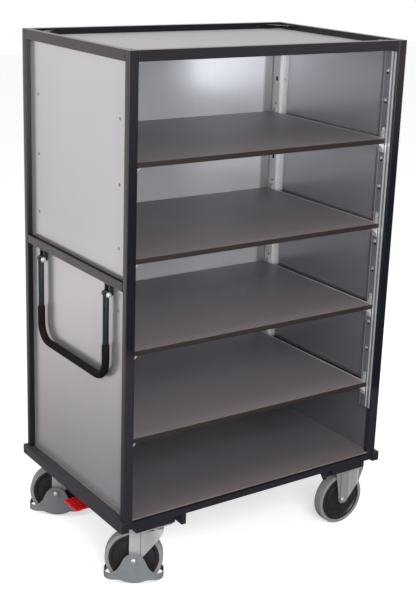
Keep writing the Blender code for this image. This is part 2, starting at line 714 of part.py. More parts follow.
def add_handle():
    depth, low = CROSSBAR_D, CROSSBAR_LOW_Z
    wall, high = CROSSBAR_WALL, CROSSBAR_H
    channel = [(0, 0), (depth, 0), (depth, high), (depth - wall, high), (depth - wall, wall), (wall, wall),
               (wall, high), (0, high)]
    add("crossbar", prism([channel], -POST_Y + GAP, POST_Y - GAP, "Y"), "frame_paint", (HANDLE_X, 0, low))
    pivot = guide("handle_pivot", (HANDLE_X, 0, HANDLE_PIVOT_Z))
    top = low - GAP - HANDLE_PIVOT_Z
    outer = BRACKET_INNER + BRACKET_PLATE_T
    cheek = [(BRACKET_R, top), (-BRACKET_R, top)]
    cheek += arc((0, 0), BRACKET_R, math.pi, math.tau, ROUND_SIDES // 2)
    for end, sy in (("front", -1), ("rear", 1)):
        at = (HANDLE_X, sy * HANDLE_LEG_Y, HANDLE_PIVOT_Z)
        hole = circle((0, 0), PIVOT_BOLT_R + GAP)
        body = prism([cheek, hole], -outer, outer, "Y")
        bracket = add("handle_bracket_" + end, body, "frame_paint", at)
        mouth = rectangle((-BRACKET_R - OVERRUN, -BRACKET_R - OVERRUN),
                          (BRACKET_R + OVERRUN, top - BRACKET_PLATE_T))
        body = prism([mouth], -BRACKET_INNER, BRACKET_INNER, "Y")
        boolean(bracket, "DIFFERENCE", "bracket_mouth_" + end, body)
        add("handle_bolt_" + end, pivot_bolt(outer + GAP), "zinc", at)
    path = u_path(HANDLE_ABOVE_PIVOT, HANDLE_LEG_Y, HANDLE_DROP, HANDLE_BEND_R)
    body = hollow_sweep(path, HANDLE_TUBE_R, HANDLE_TUBE_R - HANDLE_TUBE_WALL)
    tube = add("handle_tube", body, "handle_steel", parent=pivot)
    holes = bmesh.new()
    reach = HANDLE_TUBE_R + OVERRUN
    for sy in (-1, 1):
        middle = sy * HANDLE_LEG_Y
        prism([circle((0, 0), PIVOT_BOLT_R + GAP)], middle - reach, middle + reach, "Y", holes)
    boolean(tube, "DIFFERENCE", "handle_bolt_holes", holes)
    path = u_path(-GRIP_START_DROP, HANDLE_LEG_Y, HANDLE_DROP, HANDLE_BEND_R)
    add("handle_grip", hollow_sweep(path, GRIP_R, HANDLE_TUBE_R + GAP), "grip", parent=pivot)


# Casters

def swivel_cheek(top):
    """Side view of a swivel fork's cheek about its axle: from the crown down to a round ear."""
    front = SWIVEL_FORK_FRONT + SWIVEL_TRAIL
    ear = arc((0, 0), FORK_EAR_R, math.pi, math.pi * 1.5, ROUND_SIDES // 4)
    ear += arc((SWIVEL_EAR_L, 0), FORK_EAR_R, math.pi * 1.5, math.tau - math.pi / 5, ROUND_SIDES // 4)
    edge = [(front - FORK_BEND_L * back, top - FORK_BEND_H * down) for back, down in FORK_BEND_SHARES]
    return [(-FORK_EAR_R, top)] + ear + edge + [(front, top)]


def fixed_cheek(top):
    """Side view of a fixed fork's cheek: its ear runs on past the axle and its front edge is upright."""
    ear = arc((0, 0), FORK_EAR_R, math.pi, math.pi * 1.5, ROUND_SIDES // 4)
    ear += arc((FIXED_EAR_L, 0), FORK_EAR_R, math.pi * 1.5, math.tau - math.pi / 8, ROUND_SIDES // 4)
    return [(-FIXED_FORK_BACK, top), (-FIXED_FORK_BACK, top - FORK_TOP_EDGE_H)] + ear + \
        [(FIXED_FORK_FRONT, top - FIXED_FORK_EDGE_H), (FIXED_FORK_FRONT, top)]


def add_wheel(name, parent, at, axle):
    """Hub, tyre and axle bolt on one axis."""
    half, rim, shoulder = WHEEL_W / 2, HUB_RIM_W / 2, TYRE_SHOULDER
    tyre = [(WHEEL_R - TYRE_T, -rim)]
    crown = [(WHEEL_R - shoulder * deep, half - shoulder * (1 - across)) for across, deep in SHOULDER_SHARES]
    tyre += [(radius, -along) for radius, along in reversed(crown)] + crown + [(WHEEL_R - TYRE_T, rim)]
    boss = FORK_INNER - HUB_BOSS_CLEAR
    web = HUB_WEB_T / 2
    side = [(AXLE_R + GAP, boss), (HUB_BOSS_R, boss), (HUB_DISH_R, web), (HUB_R - HUB_RIM_T, web),
            (HUB_R, rim)]
    hub = side + [(radius, -along) for radius, along in reversed(side)]
    add(name + "_tyre", turned(tyre, WHEEL_SIDES), "tyre", at, parent)
    add(name + "_hub", turned(hub, HUB_SIDES), "hub", at, parent)
    add(name + "_axle", axle, "zinc", at, parent)


def axle_bolt(out, collars=()):
    """An axle bolt with a domed head and nut, and spacing collars between its plates."""
    dome = [(AXLE_HEAD_R * radius, out + AXLE_HEAD_H * rise) for radius, rise in DOME_SHARES]
    half = [(0.0, out + AXLE_HEAD_H)] + dome + [(AXLE_HEAD_R, out), (AXLE_R, out)]
    for first, last in collars:
        half += [(AXLE_R, last), (AXLE_COLLAR_R, last), (AXLE_COLLAR_R, first), (AXLE_R, first)]
    return turned([(radius, -along) for radius, along in half] + list(reversed(half)), ROUND_SIDES)


def guard_body():
    """A ring with rounded ends whose long sides rise to a bell round the axle."""
    outer = rounded(GUARD_HALF_L, GUARD_HALF_W, GUARD_CORNER, BEND_STEPS)
    wall = GUARD_WALL
    inner = rounded(GUARD_HALF_L - wall, GUARD_HALF_W - wall, GUARD_CORNER - wall, BEND_STEPS)
    return prism([outer, inner], GUARD_LOW_Z - GUARD_DIP - WHEEL_R, GUARD_TOP_Z + OVERRUN - WHEEL_R)


def bell_body():
    """What the ring keeps of itself: a bell above, and a lower edge that dips in its middle."""
    rise = GUARD_TOP_Z - GUARD_END_Z
    half = [(GUARD_HALF_L * along, GUARD_END_Z - WHEEL_R + rise * up) for along, up in BELL_SHARES]
    half[0] = (GUARD_HALF_L + OVERRUN, half[0][1])
    low = GUARD_LOW_Z - WHEEL_R
    start, end = [GUARD_HALF_L * share for share in DIP_SHARES]
    half = [(end, low - GUARD_DIP), (start, low), (half[0][0], low)] + half
    outline = half + [(-x, z) for x, z in reversed(half)]
    return prism([outline], -GUARD_HALF_W - OVERRUN, GUARD_HALF_W + OVERRUN, "Y")


def add_swivel_caster(end, y):
    name = "swivel_" + end
    pin_r = KING_PIN_R
    crown_low = RACE_H + GAP + FORK_CROWN_T + GAP
    stem = [(RACE_R, 0.0), (RACE_R, RACE_H), (pin_r, RACE_H), (pin_r, crown_low), (KING_NUT_R, crown_low),
            (KING_NUT_R, crown_low + KING_NUT_H), (0.0, crown_low + KING_NUT_H)]
    outline = rounded(PLATE_W / 2, PLATE_D / 2, PLATE_CORNER)
    plate = plate_with_bosses(outline, PLATE_TOP_Z, PLATE_LOW_Z, [((0, 0), stem, ROUND_SIDES)])
    add(name + "_plate", plate, "zinc", (-CHANNEL_X, y, 0))
    turn = guide(name + "_axis", (-CHANNEL_X, y, 0), SWIVEL_TURN_DEG)
    at = (-SWIVEL_TRAIL, 0, WHEEL_R)
    top = CROWN_TOP_Z - WHEEL_R
    cheek = swivel_cheek(top)
    bore = circle((0, 0), AXLE_R + GAP)
    fork = add(name + "_fork", prism([cheek, bore], -FORK_OUT, FORK_OUT, "Y"), "zinc", at, turn)
    mouth = rectangle((-FORK_EAR_R - OVERRUN, -FORK_EAR_R - OVERRUN),
                      (SWIVEL_FORK_FRONT + SWIVEL_TRAIL + OVERRUN, top - FORK_CROWN_T))
    boolean(fork, "DIFFERENCE", name + "_fork_mouth", prism([mouth], -FORK_INNER, FORK_INNER, "Y"))
    pin_hole = prism([circle((SWIVEL_TRAIL, 0), pin_r + GAP)], top - FORK_CROWN_T - OVERRUN, top + OVERRUN)
    boolean(fork, "DIFFERENCE", name + "_pin_hole", pin_hole)
    guard = add(name + "_guard", guard_body(), "guard_steel", at, turn)
    boolean(guard, "INTERSECT", name + "_bell", bell_body())
    reach = GUARD_HALF_W + OVERRUN
    boolean(guard, "DIFFERENCE", name + "_guard_bore", prism([bore], -reach, reach, "Y"))
    collars = ((FORK_OUT + GAP, GUARD_HALF_W - GUARD_WALL - GAP),)
    add_wheel(name, turn, at, axle_bolt(GUARD_HALF_W + GAP, collars))


def add_fixed_caster(end, y):
    name = "fixed_" + end
    top = PLATE_LOW_Z + FIXED_CROWN_LAP - WHEEL_R
    cheek = fixed_cheek(top)
    body = prism([cheek, circle((0, 0), AXLE_R + GAP)], -FORK_OUT, FORK_OUT, "Y")
    at = (CHANNEL_X, y, WHEEL_R)
    fork = add(name + "_fork", body, "zinc", at)
    mouth = rectangle((-FIXED_FORK_BACK - OVERRUN, -FORK_EAR_R - OVERRUN),
                      (FIXED_FORK_FRONT + OVERRUN, PLATE_LOW_Z - FORK_CROWN_T - WHEEL_R))
    boolean(fork, "DIFFERENCE", name + "_fork_mouth", prism([mouth], -FORK_INNER, FORK_INNER, "Y"))
    outline = rounded(PLATE_W / 2, PLATE_D / 2, PLATE_CORNER)
    boolean(fork, "UNION", name + "_plate", prism([outline], PLATE_LOW_Z - WHEEL_R, PLATE_TOP_Z - WHEEL_R))
    add_wheel(name, None, at, axle_bolt(FORK_OUT + GAP))


# The foot brake

def add_brake():
    pivot = guide("brake_axis", (BRAKE_X, 0, BRAKE_Z))
    collar = HANGER_Y + HANGER_T / 2 + GAP
    half = [(0.0, BRAKE_SHAFT_HALF_L), (BRAKE_COLLAR_R, BRAKE_SHAFT_HALF_L), (BRAKE_COLLAR_R, collar),
            (BRAKE_SHAFT_R, collar)]
    shaft = turned([(radius, -along) for radius, along in half] + list(reversed(half)), ROUND_SIDES)
    add("brake_shaft", shaft, "zinc", parent=pivot)
    valley = -PEDAL_DROP - PEDAL_RIB_H
    outline = [(-PEDAL_REACH, valley - PEDAL_T), (-PEDAL_ROOT, valley - PEDAL_T)]
    outline += arc((0, 0), PEDAL_HUB_R, -math.pi / 2, math.pi, ROUND_SIDES // 2)
    outline.append((-PEDAL_ROOT, valley))
    for i in range(PEDAL_RIBS):
        start = -PEDAL_REACH + (PEDAL_RIBS - i) * PEDAL_RIB_PITCH
        outline += [(start, valley), (start - PEDAL_RIB_PITCH / 4, -PEDAL_DROP),
                    (start - PEDAL_RIB_PITCH * 3 / 4, -PEDAL_DROP)]
    outline.append((-PEDAL_REACH, valley))
    body = prism([outline, circle((0, 0), BRAKE_SHAFT_R + GAP)], -PEDAL_W / 2, PEDAL_W / 2, "Y")
    add("brake_pedal", body, "pedal_red", (0, PEDAL_Y, 0), pivot)


clear_scene()
add_posts()
add_rim()
add_panels()
add_base()
add_shelves()
add_standards()
add_handle()
for row, distance in (("front", -CASTER_FRONT_Y), ("rear", CASTER_REAR_Y)):
    add_swivel_caster(row, distance)
    add_fixed_caster(row, distance)
add_brake()
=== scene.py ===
"""Looks of the shelf trolley: finishes, fine metalwork, wheels, handle, floor, light and camera."""

import json
import math

import bmesh
import bpy
from mathutils import Matrix, Vector


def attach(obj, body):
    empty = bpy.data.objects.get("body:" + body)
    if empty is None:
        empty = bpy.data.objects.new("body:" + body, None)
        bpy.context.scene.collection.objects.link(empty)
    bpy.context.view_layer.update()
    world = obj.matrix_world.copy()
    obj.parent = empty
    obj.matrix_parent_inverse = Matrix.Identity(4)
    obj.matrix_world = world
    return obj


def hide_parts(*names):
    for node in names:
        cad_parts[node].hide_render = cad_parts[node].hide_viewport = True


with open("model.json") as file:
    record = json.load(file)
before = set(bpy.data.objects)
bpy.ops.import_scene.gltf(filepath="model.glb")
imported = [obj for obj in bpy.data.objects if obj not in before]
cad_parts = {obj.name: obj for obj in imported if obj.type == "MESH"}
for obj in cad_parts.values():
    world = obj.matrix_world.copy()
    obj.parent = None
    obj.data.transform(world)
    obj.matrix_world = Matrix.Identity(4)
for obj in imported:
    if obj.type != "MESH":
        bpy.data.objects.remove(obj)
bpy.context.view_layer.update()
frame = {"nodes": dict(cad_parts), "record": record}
NODES = frame["nodes"]

# Places shared with the construction, in metres
WHEEL_R = 0.098
WHEEL_HALF_W = 0.020
TYRE_T = 0.0125
SWIVEL_TURN = math.radians(-33.0)
TRAIL = 0.046
CASTER_X = 0.416
CASTER_YS = {"front": -0.302, "rear": 0.258}
CROWN_TOP_Z = 0.2114
PLATE_LOW_Z = 0.2187
WEB_X = 0.5042
SLOT_ZS = [0.5725 + 0.1 * k for k in range(12)]
SLOT_Y = {-1: -0.304, 1: 0.307}
SHELF_T = 0.017
SHELF_TOPS = [0.5455 + 0.3 * k for k in range(4)]
PANEL_RIVET_ZS = [1.5725 - 0.2 * k for k in range(4)]
FLANGE_RIVET_ZS = [0.5725 + 0.2 * k for k in range(7)]
FLANGE_X = 0.5181
HANDLE_PIVOT = Vector((-0.540, 0.0, 1.0175))
LEG_Y = 0.225
BRAKE_AXIS = Vector((-0.460, 0.0, 0.205))

# Both signs, the four corners and a quarter turn
BOTH = (-1, 1)
CORNERS = [(sx, sy) for sx in BOTH for sy in BOTH]
QUARTER = math.pi / 2


# Node helpers

def link(tree, source, target):
    tree.links.new(source, target)


def node(tree, kind, inputs=None, **values):
    """A node with its properties set, and its inputs given values or linked to sockets."""
    made = tree.nodes.new(kind)
    for name, value in values.items():
        setattr(made, name, value)
    for label, value in (inputs or {}).items():
        if isinstance(value, bpy.types.NodeSocket):
            link(tree, value, made.inputs[label])
        else:
            made.inputs[label].default_value = value
    return made


def calc(tree, operation, *values):
    """The result of a maths node over numbers and sockets."""
    return node(tree, "ShaderNodeMath", dict(enumerate(values)), operation=operation).outputs[0]


def product(tree, first, *others):
    for other in others:
        first = calc(tree, "MULTIPLY", first, other)
    return first


def mapped(tree, source, low, high, first=0.0, last=1.0):
    """Map a value between two limits to another pair, or to 0..1."""
    return node(tree, "ShaderNodeMapRange", {"Value": source, "From Min": low, "From Max": high,
                                             "To Min": first, "To Max": last}).outputs["Result"]


def waves(tree, along, phase, low=-1.0, high=1.0):
    """Even waves along a place, with so many radians to the metre, as a value from 0 to 1."""
    return mapped(tree, calc(tree, "SINE", product(tree, along, phase)), low, high)


def blend(tree, factor, first, second):
    """Blend two colours, each a tuple or a socket, by a factor socket."""
    first, second = [(*value, 1.0) if isinstance(value, tuple) else value for value in (first, second)]
    return node(tree, "ShaderNodeMix", {"Factor": factor, "A": first, "B": second},
                data_type="RGBA").outputs["Result"]


def scaled(tree, colour, level):
    return node(tree, "ShaderNodeVectorMath", {0: colour, "Scale": level}, operation="SCALE").outputs[0]


def split(tree, vector):
    """The outputs X, Y and Z of a vector."""
    return node(tree, "ShaderNodeSeparateXYZ", {0: vector}).outputs


def own_place(tree):
    """The parts of the shaded point's place on its own piece."""
    return split(tree, node(tree, "ShaderNodeTexCoord").outputs["Object"])


def surface(tree, label):
    """The parts of the shaded point's Normal or Position in the world."""
    return split(tree, node(tree, "ShaderNodeNewGeometry").outputs[label])


# Shared effects

def new_group(name, inputs, outputs):
    """An empty node group with named sockets; returns it, what it is given and what it makes."""
    group = bpy.data.node_groups.new(name, "ShaderNodeTree")
    for label, default in inputs.items():
        socket = group.interface.new_socket(label, in_out="INPUT", socket_type="NodeSocketFloat")
        socket.default_value = default
    for label, kind in outputs.items():
        group.interface.new_socket(label, in_out="OUTPUT", socket_type="NodeSocket" + kind)
    return group, node(group, "NodeGroupInput").outputs, node(group, "NodeGroupOutput").inputs


def sized_noise(group, size, detail):
    """Noise on the piece itself, with features of a size in metres."""
    return node(group, "ShaderNodeTexNoise", {
        "Vector": node(group, "ShaderNodeTexCoord").outputs["Object"],
        "Scale": calc(group, "DIVIDE", 1.0, size), "Detail": detail}).outputs["Fac"]


def make_grain_group():
    """Fine surface grain: a value about 0.5 and a bumped normal, at a size in metres."""
    group, given, made = new_group("fine_grain", {"Size": 0.001, "Depth": 0.0002, "Strength": 0.3},
                                   {"Value": "Float", "Normal": "Vector"})
    noise = sized_noise(group, given["Size"], 4.0)
    bump = node(group, "ShaderNodeBump", {"Height": noise, "Distance": given["Depth"],
                                          "Strength": given["Strength"]})
    link(group, noise, made["Value"])
    link(group, bump.outputs["Normal"], made["Normal"])
    return group


def make_streak_group():
    """Long rolling streaks that run up the sheet: a value from 0 to 1."""
    group, given, made = new_group("rolling_streaks", {"Width": 0.004, "Length": 0.5}, {"Value": "Float"})
    place = own_place(group)
    stretched = node(group, "ShaderNodeCombineXYZ", {
        axis: calc(group, "DIVIDE", place[axis], given[size])
        for axis, size in (("X", "Width"), ("Y", "Width"), ("Z", "Length"))})
    noise = node(group, "ShaderNodeTexNoise", {"Vector": stretched.outputs[0], "Scale": 1.0, "Detail": 5.0})
    link(group, mapped(group, noise.outputs["Fac"], 0.25, 0.75), made["Value"])
    return group


def make_patch_group():
    """Broad uneven patches, such as dust or faded coating: a value from 0 to 1."""
    group, given, made = new_group("broad_patches", {"Size": 0.2}, {"Value": "Float"})
    link(group, mapped(group, sized_noise(group, given["Size"], 3.0), 0.3, 0.7), made["Value"])
    return group


GRAIN = make_grain_group()
STREAKS = make_streak_group()
PATCHES = make_patch_group()
PAINT_GRAIN = {"Size": 0.0012, "Depth": 0.00012, "Strength": 0.5}
SHEET_GRAIN = {"Size": 0.0025, "Depth": 0.00004, "Strength": 0.35}

# Where a normal's part or a place fades from the one side to the other
UPWARD = (0.7, 0.9)
LEFTWARD = (-0.6, -0.9)
LEFT_END = (-0.46, -0.50)
FRONT_PLANE = (-0.30, -0.32)
CROWN_RISE = (1.34, 1.70)


# Finishes

class Finish:
    """A material built round one Principled shader."""

    def __init__(self, name, metallic=0.0, specular=0.5):
        self.material = bpy.data.materials.new(name)
        self.material.use_nodes = True
        self.tree = self.material.node_tree
        self.shader = self.tree.nodes["Principled BSDF"]
        self.shader.inputs["Metallic"].default_value = metallic
        self.shader.inputs["Specular IOR Level"].default_value = specular

    def group(self, group, **values):
        """The outputs of a shared effect."""
        return node(self.tree, "ShaderNodeGroup", values, node_tree=group).outputs

    def done(self, colour, gloss, rough, normal):
        """Link the colour, a roughness between two limits and the normal; returns the material."""
        for label, socket in (("Base Color", colour), ("Normal", normal),
                              ("Roughness", mapped(self.tree, gloss, 0.0, 1.0, *rough))):
            link(self.tree, socket, self.shader.inputs[label])
        return self.material


def coated(name, dark, light, rough, metallic=0.0, grain_size=0.0012, depth=0.00012, patch=0.25,
           specular=0.5):
    """Paint, plastic or rubber: two close tones, fine grain and uneven gloss."""
    finish = Finish(name, metallic, specular)
    patches = finish.group(PATCHES, Size=patch)
    grain = finish.group(GRAIN, Size=grain_size, Depth=depth, Strength=0.5)
    colour = blend(finish.tree, patches["Value"], dark, light)
    return finish.done(colour, grain["Value"], rough, grain["Normal"])


# The front posts' feet, painted lighter as painted light: the heights and the sides where they fade in, and
# their tone
LIT_POST_FEET = (((0.87, 0.83), (0.1, -0.1), (0.0163, 0.0139, 0.0180)),
             ((0.545, 0.515), (-0.1, 0.1), (0.0144, 0.0137, 0.0174)))


def paint(name, front, side, top, top_specular=0.5, fade=(0.5, 1.2), crown=None):
    """Frame paint: near black, with painted light on the trolley's left side and on faces that look up.

    The side's painted light fades in between two heights. A crown, (left tone, right tone), is painted light,
    the lighter tone of the front frame towards its top; the post feet, painted lighter as painted light, come
    with it.
    """
    finish = Finish(name)
    tree = finish.tree
    patches = finish.group(PATCHES, Size=0.4)
    grain = finish.group(GRAIN, **PAINT_GRAIN)
    facing, place = surface(tree, "Normal"), surface(tree, "Position")
    plain = blend(tree, patches["Value"], *[tuple(level * part for part in front) for level in (0.8, 1.2)])
    if crown:
        # Painted light: the front frame lighter towards its top, and the front posts' feet lighter
        ahead = mapped(tree, place["Y"], *FRONT_PLANE)
        lit = blend(tree, mapped(tree, place["X"], -0.54, 0.54), *crown)
        plain = blend(tree, product(tree, mapped(tree, place["Z"], *CROWN_RISE), ahead), plain, lit)
        for heights, sides, foot in LIT_POST_FEET:
            low = mapped(tree, place["Z"], *heights)
            plain = blend(tree, product(tree, low, mapped(tree, place["X"], *sides), ahead), plain, foot)
    # Painted light: a lighter tone on left-facing faces, fading in with height
    left = product(tree, mapped(tree, facing["X"], *LEFTWARD), mapped(tree, place["X"], *LEFT_END),
                   mapped(tree, place["Z"], *fade))
    # Painted light: a tone of its own on faces that look up
    above = mapped(tree, facing["Z"], *UPWARD)
    link(tree, mapped(tree, above, 0.0, 1.0, 0.5, top_specular), finish.shader.inputs["Specular IOR Level"])
    colour = blend(tree, above, blend(tree, left, plain, side), top)
    return finish.done(colour, grain["Value"], (0.24, 0.36), grain["Normal"])


def side_panel_painted_shading(tree, colour, inside):
    """The side panels' colour: painted shade low down on the inner faces, and painted light and shade by
    height on the outer ones.
    """
    place = surface(tree, "Position")
    outwards = product(tree, surface(tree, "Normal")["X"], place["X"])
    # Painted light and shade on the outer faces: lighter at the top, darker from about 1.2 m down, back to
    # the plain tone near 0.6 m
    upper = mapped(tree, place["Z"], 1.20, 1.75, 0.87, 1.08)
    lower = mapped(tree, place["Z"], 1.10, 0.60, 1.0, 1.15)
    outer = scaled(tree, colour, product(tree, upper, lower))
    colour = blend(tree, mapped(tree, outwards, 0.3, 0.5), colour, outer)
    # Painted shade on the inner faces, darker low down
    inner = product(tree, mapped(tree, outwards, -0.3, -0.5), mapped(tree, place["Z"], 0.3, 1.9, 0.60, 0.0))
    return blend(tree, inner, colour, inside)


def rolled_sheet(name, dark, light, rough, metallic=0.9, width=0.006, inside=None, corner=None):
    """Galvanised sheet: vertical rolling streaks, faint patches and a soft sheen.

    An inside tone is the painted shade of the side panels' inner faces. A corner, (first x, last x, level),
    is where the sheet darkens beside a standard as painted shade.
    """
    finish = Finish(name, metallic)
    tree = finish.tree
    streaks = finish.group(STREAKS, Width=width, Length=0.6)["Value"]
    patches = finish.group(PATCHES, Size=0.35)["Value"]
    grain = finish.group(GRAIN, **SHEET_GRAIN)
    tone = calc(tree, "MULTIPLY_ADD", streaks, 0.6, product(tree, patches, 0.4))
    colour = blend(tree, tone, dark, light)
    if corner:
        # Painted shade: the sheet darkens towards a standard
        first, last, level = corner
        colour = scaled(tree, colour, mapped(tree, surface(tree, "Position")["X"], first, last, 1.0, level))
    if inside:
        colour = side_panel_painted_shading(tree, colour, inside)
    return finish.done(colour, streaks, rough, grain["Normal"])


def board_film(name, shade, lit_band_end):
    """Film-faced board: dark grey faces with painted light, warmer and lighter from the front edge back to
    the given end, and brown ply edges.
    """
    finish = Finish(name, specular=0.45)
    tree = finish.tree
    patches = finish.group(PATCHES, Size=0.5)["Value"]
    grain = finish.group(GRAIN, Size=0.0016, Depth=0.00006, Strength=0.5)
    place, ply_phase = own_place(tree), 2200.0
    dark, light, warm = [tuple(shade * part for part in tone) for tone in (
        (0.167, 0.157, 0.176), (0.200, 0.186, 0.205), (0.226, 0.186, 0.192))]
    # Painted light: the faces warmer and lighter towards the front edge
    near = mapped(tree, place["Y"], -0.34, lit_band_end, 1.0, 0.0)
    face = blend(tree, near, blend(tree, patches, dark, light), warm)
    edge = blend(tree, waves(tree, place["Z"], ply_phase), (0.014, 0.009, 0.007), (0.026, 0.018, 0.014))
    flat = mapped(tree, calc(tree, "ABSOLUTE", surface(tree, "Normal")["Z"]), 0.5, 0.9)
    return finish.done(blend(tree, flat, edge, face), grain["Value"], (0.37, 0.55), grain["Normal"])


def tyre_rubber():
    """Grey rubber with fine slanted lines round the tread."""
    finish = Finish("tyre_rubber", specular=0.35)
    tree = finish.tree
    patches = finish.group(PATCHES, Size=0.05)["Value"]
    place = own_place(tree)
    lines_round, phase_across = 160.0, 900.0
    turn = calc(tree, "ARCTAN2", place["Z"], place["X"])
    slant = calc(tree, "MULTIPLY_ADD", turn, lines_round, product(tree, place["Y"], phase_across))
    lines = mapped(tree, calc(tree, "SINE", slant), -1.0, 1.0)
    base = blend(tree, patches, (0.150, 0.137, 0.148), (0.188, 0.174, 0.186))
    colour = blend(tree, mapped(tree, lines, 0.2, 2.2), base, (0.38, 0.36, 0.37))
    bump = node(tree, "ShaderNodeBump", {"Height": lines, "Distance": 0.0003, "Strength": 0.35})
    return finish.done(colour, patches, (0.62, 0.8), bump.outputs["Normal"])


def standard_zinc():
    """Zinc of the front standards: grey web, a painted highlight on the bend behind it and painted highlights
    on the tops of the two ribs.
    """
    finish = Finish("standard_zinc", 0.7)
    tree = finish.tree
    streaks = finish.group(STREAKS, Width=0.003, Length=0.4)["Value"]
    grain = finish.group(GRAIN, **SHEET_GRAIN)
    place = surface(tree, "Position")
    out = calc(tree, "ABSOLUTE", place["X"])
    web = blend(tree, streaks, (0.21, 0.225, 0.245), (0.28, 0.295, 0.315))
    # Painted highlights: a bright line on the bend behind the web and on the tops of the ribs
    bend = product(tree, mapped(tree, place["Y"], -0.2902, -0.2896),
                   mapped(tree, out, WEB_X + 0.0010, WEB_X + 0.0005))
    crest_highlight = mapped(tree, out, WEB_X - 0.0003, WEB_X - 0.0008)
    colour = blend(tree, crest_highlight, blend(tree, bend, web, (0.62, 0.62, 0.63)), (0.92, 0.92, 0.92))
    return finish.done(colour, streaks, (0.30, 0.42), grain["Normal"])


def fork_steel(name, bands):
    """Pressed zinc-plated steel with painted light and shade as lighter and darker bands, (place, grey),
    across the cheek.
    """
    finish = Finish(name, 0.4)
    tree = finish.tree
    low, high = bands[0][0], bands[-1][0]
    tones = node(tree, "ShaderNodeValToRGB", {"Fac": mapped(tree, own_place(tree)["X"], low, high)})
    for across, _ in bands[1:-1]:
        tones.color_ramp.elements.new((across - low) / (high - low))
    for element, (_, grey) in zip(tones.color_ramp.elements, bands):
        element.color = (grey, 0.975 * grey, 0.985 * grey, 1.0)
    streaks = finish.group(STREAKS, Width=0.003, Length=0.2)["Value"]
    grain = finish.group(GRAIN, **SHEET_GRAIN)
    # Painted light and shade across the cheek, varied by the rolling streaks
    streaked_shading = scaled(tree, tones.outputs["Color"], mapped(tree, streaks, 0.0, 1.0, 0.86, 1.10))
    return finish.done(streaked_shading, grain["Value"], (0.36, 0.46), grain["Normal"])


def pedal_red():
    """Red plastic, its tread painted darker between rows of small studs as painted shade."""
    finish = Finish("pedal_red", specular=0.4)
    tree = finish.tree
    grain = finish.group(GRAIN, Size=0.0012, Depth=0.0001, Strength=0.5)
    place = own_place(tree)
    # Painted shade: the tread darker between the studs, which are drawn only in colour
    stud = product(tree, *[waves(tree, place[axis], math.tau / pitch, -0.3, 0.0)
                           for axis, pitch in (("X", 0.0140), ("Y", 0.0180))])
    tread = blend(tree, stud, (0.11, 0.0, 0.001), (0.85, 0.006, 0.016))
    above = mapped(tree, surface(tree, "Normal")["Z"], *UPWARD)
    colour = blend(tree, above, (0.78, 0.003, 0.010), tread)
    return finish.done(colour, grain["Value"], (0.34, 0.48), grain["Normal"])


MATERIALS = {
    # The frame paint's side, top and crown tones are painted light
    "frame_paint": paint("frame_paint", (0.0030, 0.0038, 0.0060), (0.020, 0.013, 0.013),
                         (0.0090, 0.0088, 0.0110),
                         crown=((0.0136, 0.0117, 0.0150), (0.0271, 0.0214, 0.0246))),
    # The sheet's inside tone is painted shade on the side panels' inner faces
    "sheet": rolled_sheet("galvanised_sheet", (0.482, 0.478, 0.500), (0.540, 0.535, 0.557),
                          (0.238, 0.248), 0.75, 0.0028, inside=(0.14, 0.158, 0.185)),
    "board": board_film("board_film", 0.97, 0.0),
    "zinc": rolled_sheet("bright_zinc", (0.40, 0.40, 0.41), (0.52, 0.52, 0.52), (0.40, 0.50), 0.6, 0.004),
    "guard_steel": coated("guard_steel", (0.150, 0.159, 0.170), (0.184, 0.193, 0.204), (0.38, 0.50), 0.15,
                          0.0008, 0.00008, 0.05, 0.4),
    "tyre": tyre_rubber(),
    "hub": coated("hub_plastic", (0.015, 0.013, 0.014), (0.022, 0.020, 0.021), (0.30, 0.44), 0.0,
                  0.0009, 0.0001, 0.04, 0.4),
    "handle_steel": coated("handle_steel", (0.0030, 0.0060, 0.0100), (0.0050, 0.0085, 0.0130),
                           (0.30, 0.40), 0.0, 0.0010, 0.00006, 0.1, 0.22),
    "grip": coated("grip_foam", (0.0034, 0.0024, 0.0020), (0.0060, 0.0046, 0.0040), (0.60, 0.80), 0.0,
                   0.0010, 0.0003, 0.05, 0.08),
    "pedal_red": pedal_red(),
}
# The low paint's side and top tones are painted light, as in the frame paint
LOW_PAINT = paint("low_paint", (0.0125, 0.0120, 0.0165), (0.0275, 0.0265, 0.0320),
                  (0.0335, 0.0320, 0.0365), 0.05, (0.0, 0.1))
TOP_SHEET = rolled_sheet("top_sheet", (0.336, 0.328, 0.338), (0.376, 0.367, 0.378), (0.48, 0.52), 0.20,
                         0.0028)
# The back sheet is a lighter copy of the galvanised sheet as painted light, darkened beside the rear right
# standard as painted shade
BACK_SHEET = rolled_sheet("back_sheet", (0.66, 0.665, 0.685), (0.72, 0.725, 0.745), (0.215, 0.228), 0.42,
                          0.0028, corner=(0.458, 0.470, 0.44))
BRIGHT_ZINC = rolled_sheet("new_zinc", (0.52, 0.52, 0.53), (0.66, 0.66, 0.66), (0.20, 0.30), 0.6, 0.01)
REAR_ZINC = rolled_sheet("rear_zinc", (0.72, 0.72, 0.73), (0.79, 0.79, 0.79), (0.30, 0.32), 0.45, 0.0015)
STANDARD_ZINC = standard_zinc()
# Painted light and shade across the forks' cheeks, with darker lines at creases as painted shade
SWIVEL_STEEL = fork_steel("swivel_steel", (
    (-0.016, 0.47), (0.0203, 0.45), (0.0214, 0.24), (0.0236, 0.24), (0.0248, 0.43), (0.060, 0.39),
    (0.075, 0.46), (0.095, 0.54)))
FIXED_STEEL = fork_steel("fixed_steel", (
    (-0.035, 0.36), (-0.0140, 0.27), (-0.0128, 0.11), (-0.0108, 0.11), (-0.0096, 0.33), (0.0240, 0.31),
    (0.0258, 0.30), (0.0276, 0.42), (0.0620, 0.42), (0.0655, 0.56), (0.0700, 0.56), (0.0720, 0.27),
    (0.092, 0.26)))
# The deck is the board film darkened as painted shade, with a shorter front band of painted light
DECK_FILM = board_film("deck_film", 0.70, -0.18)
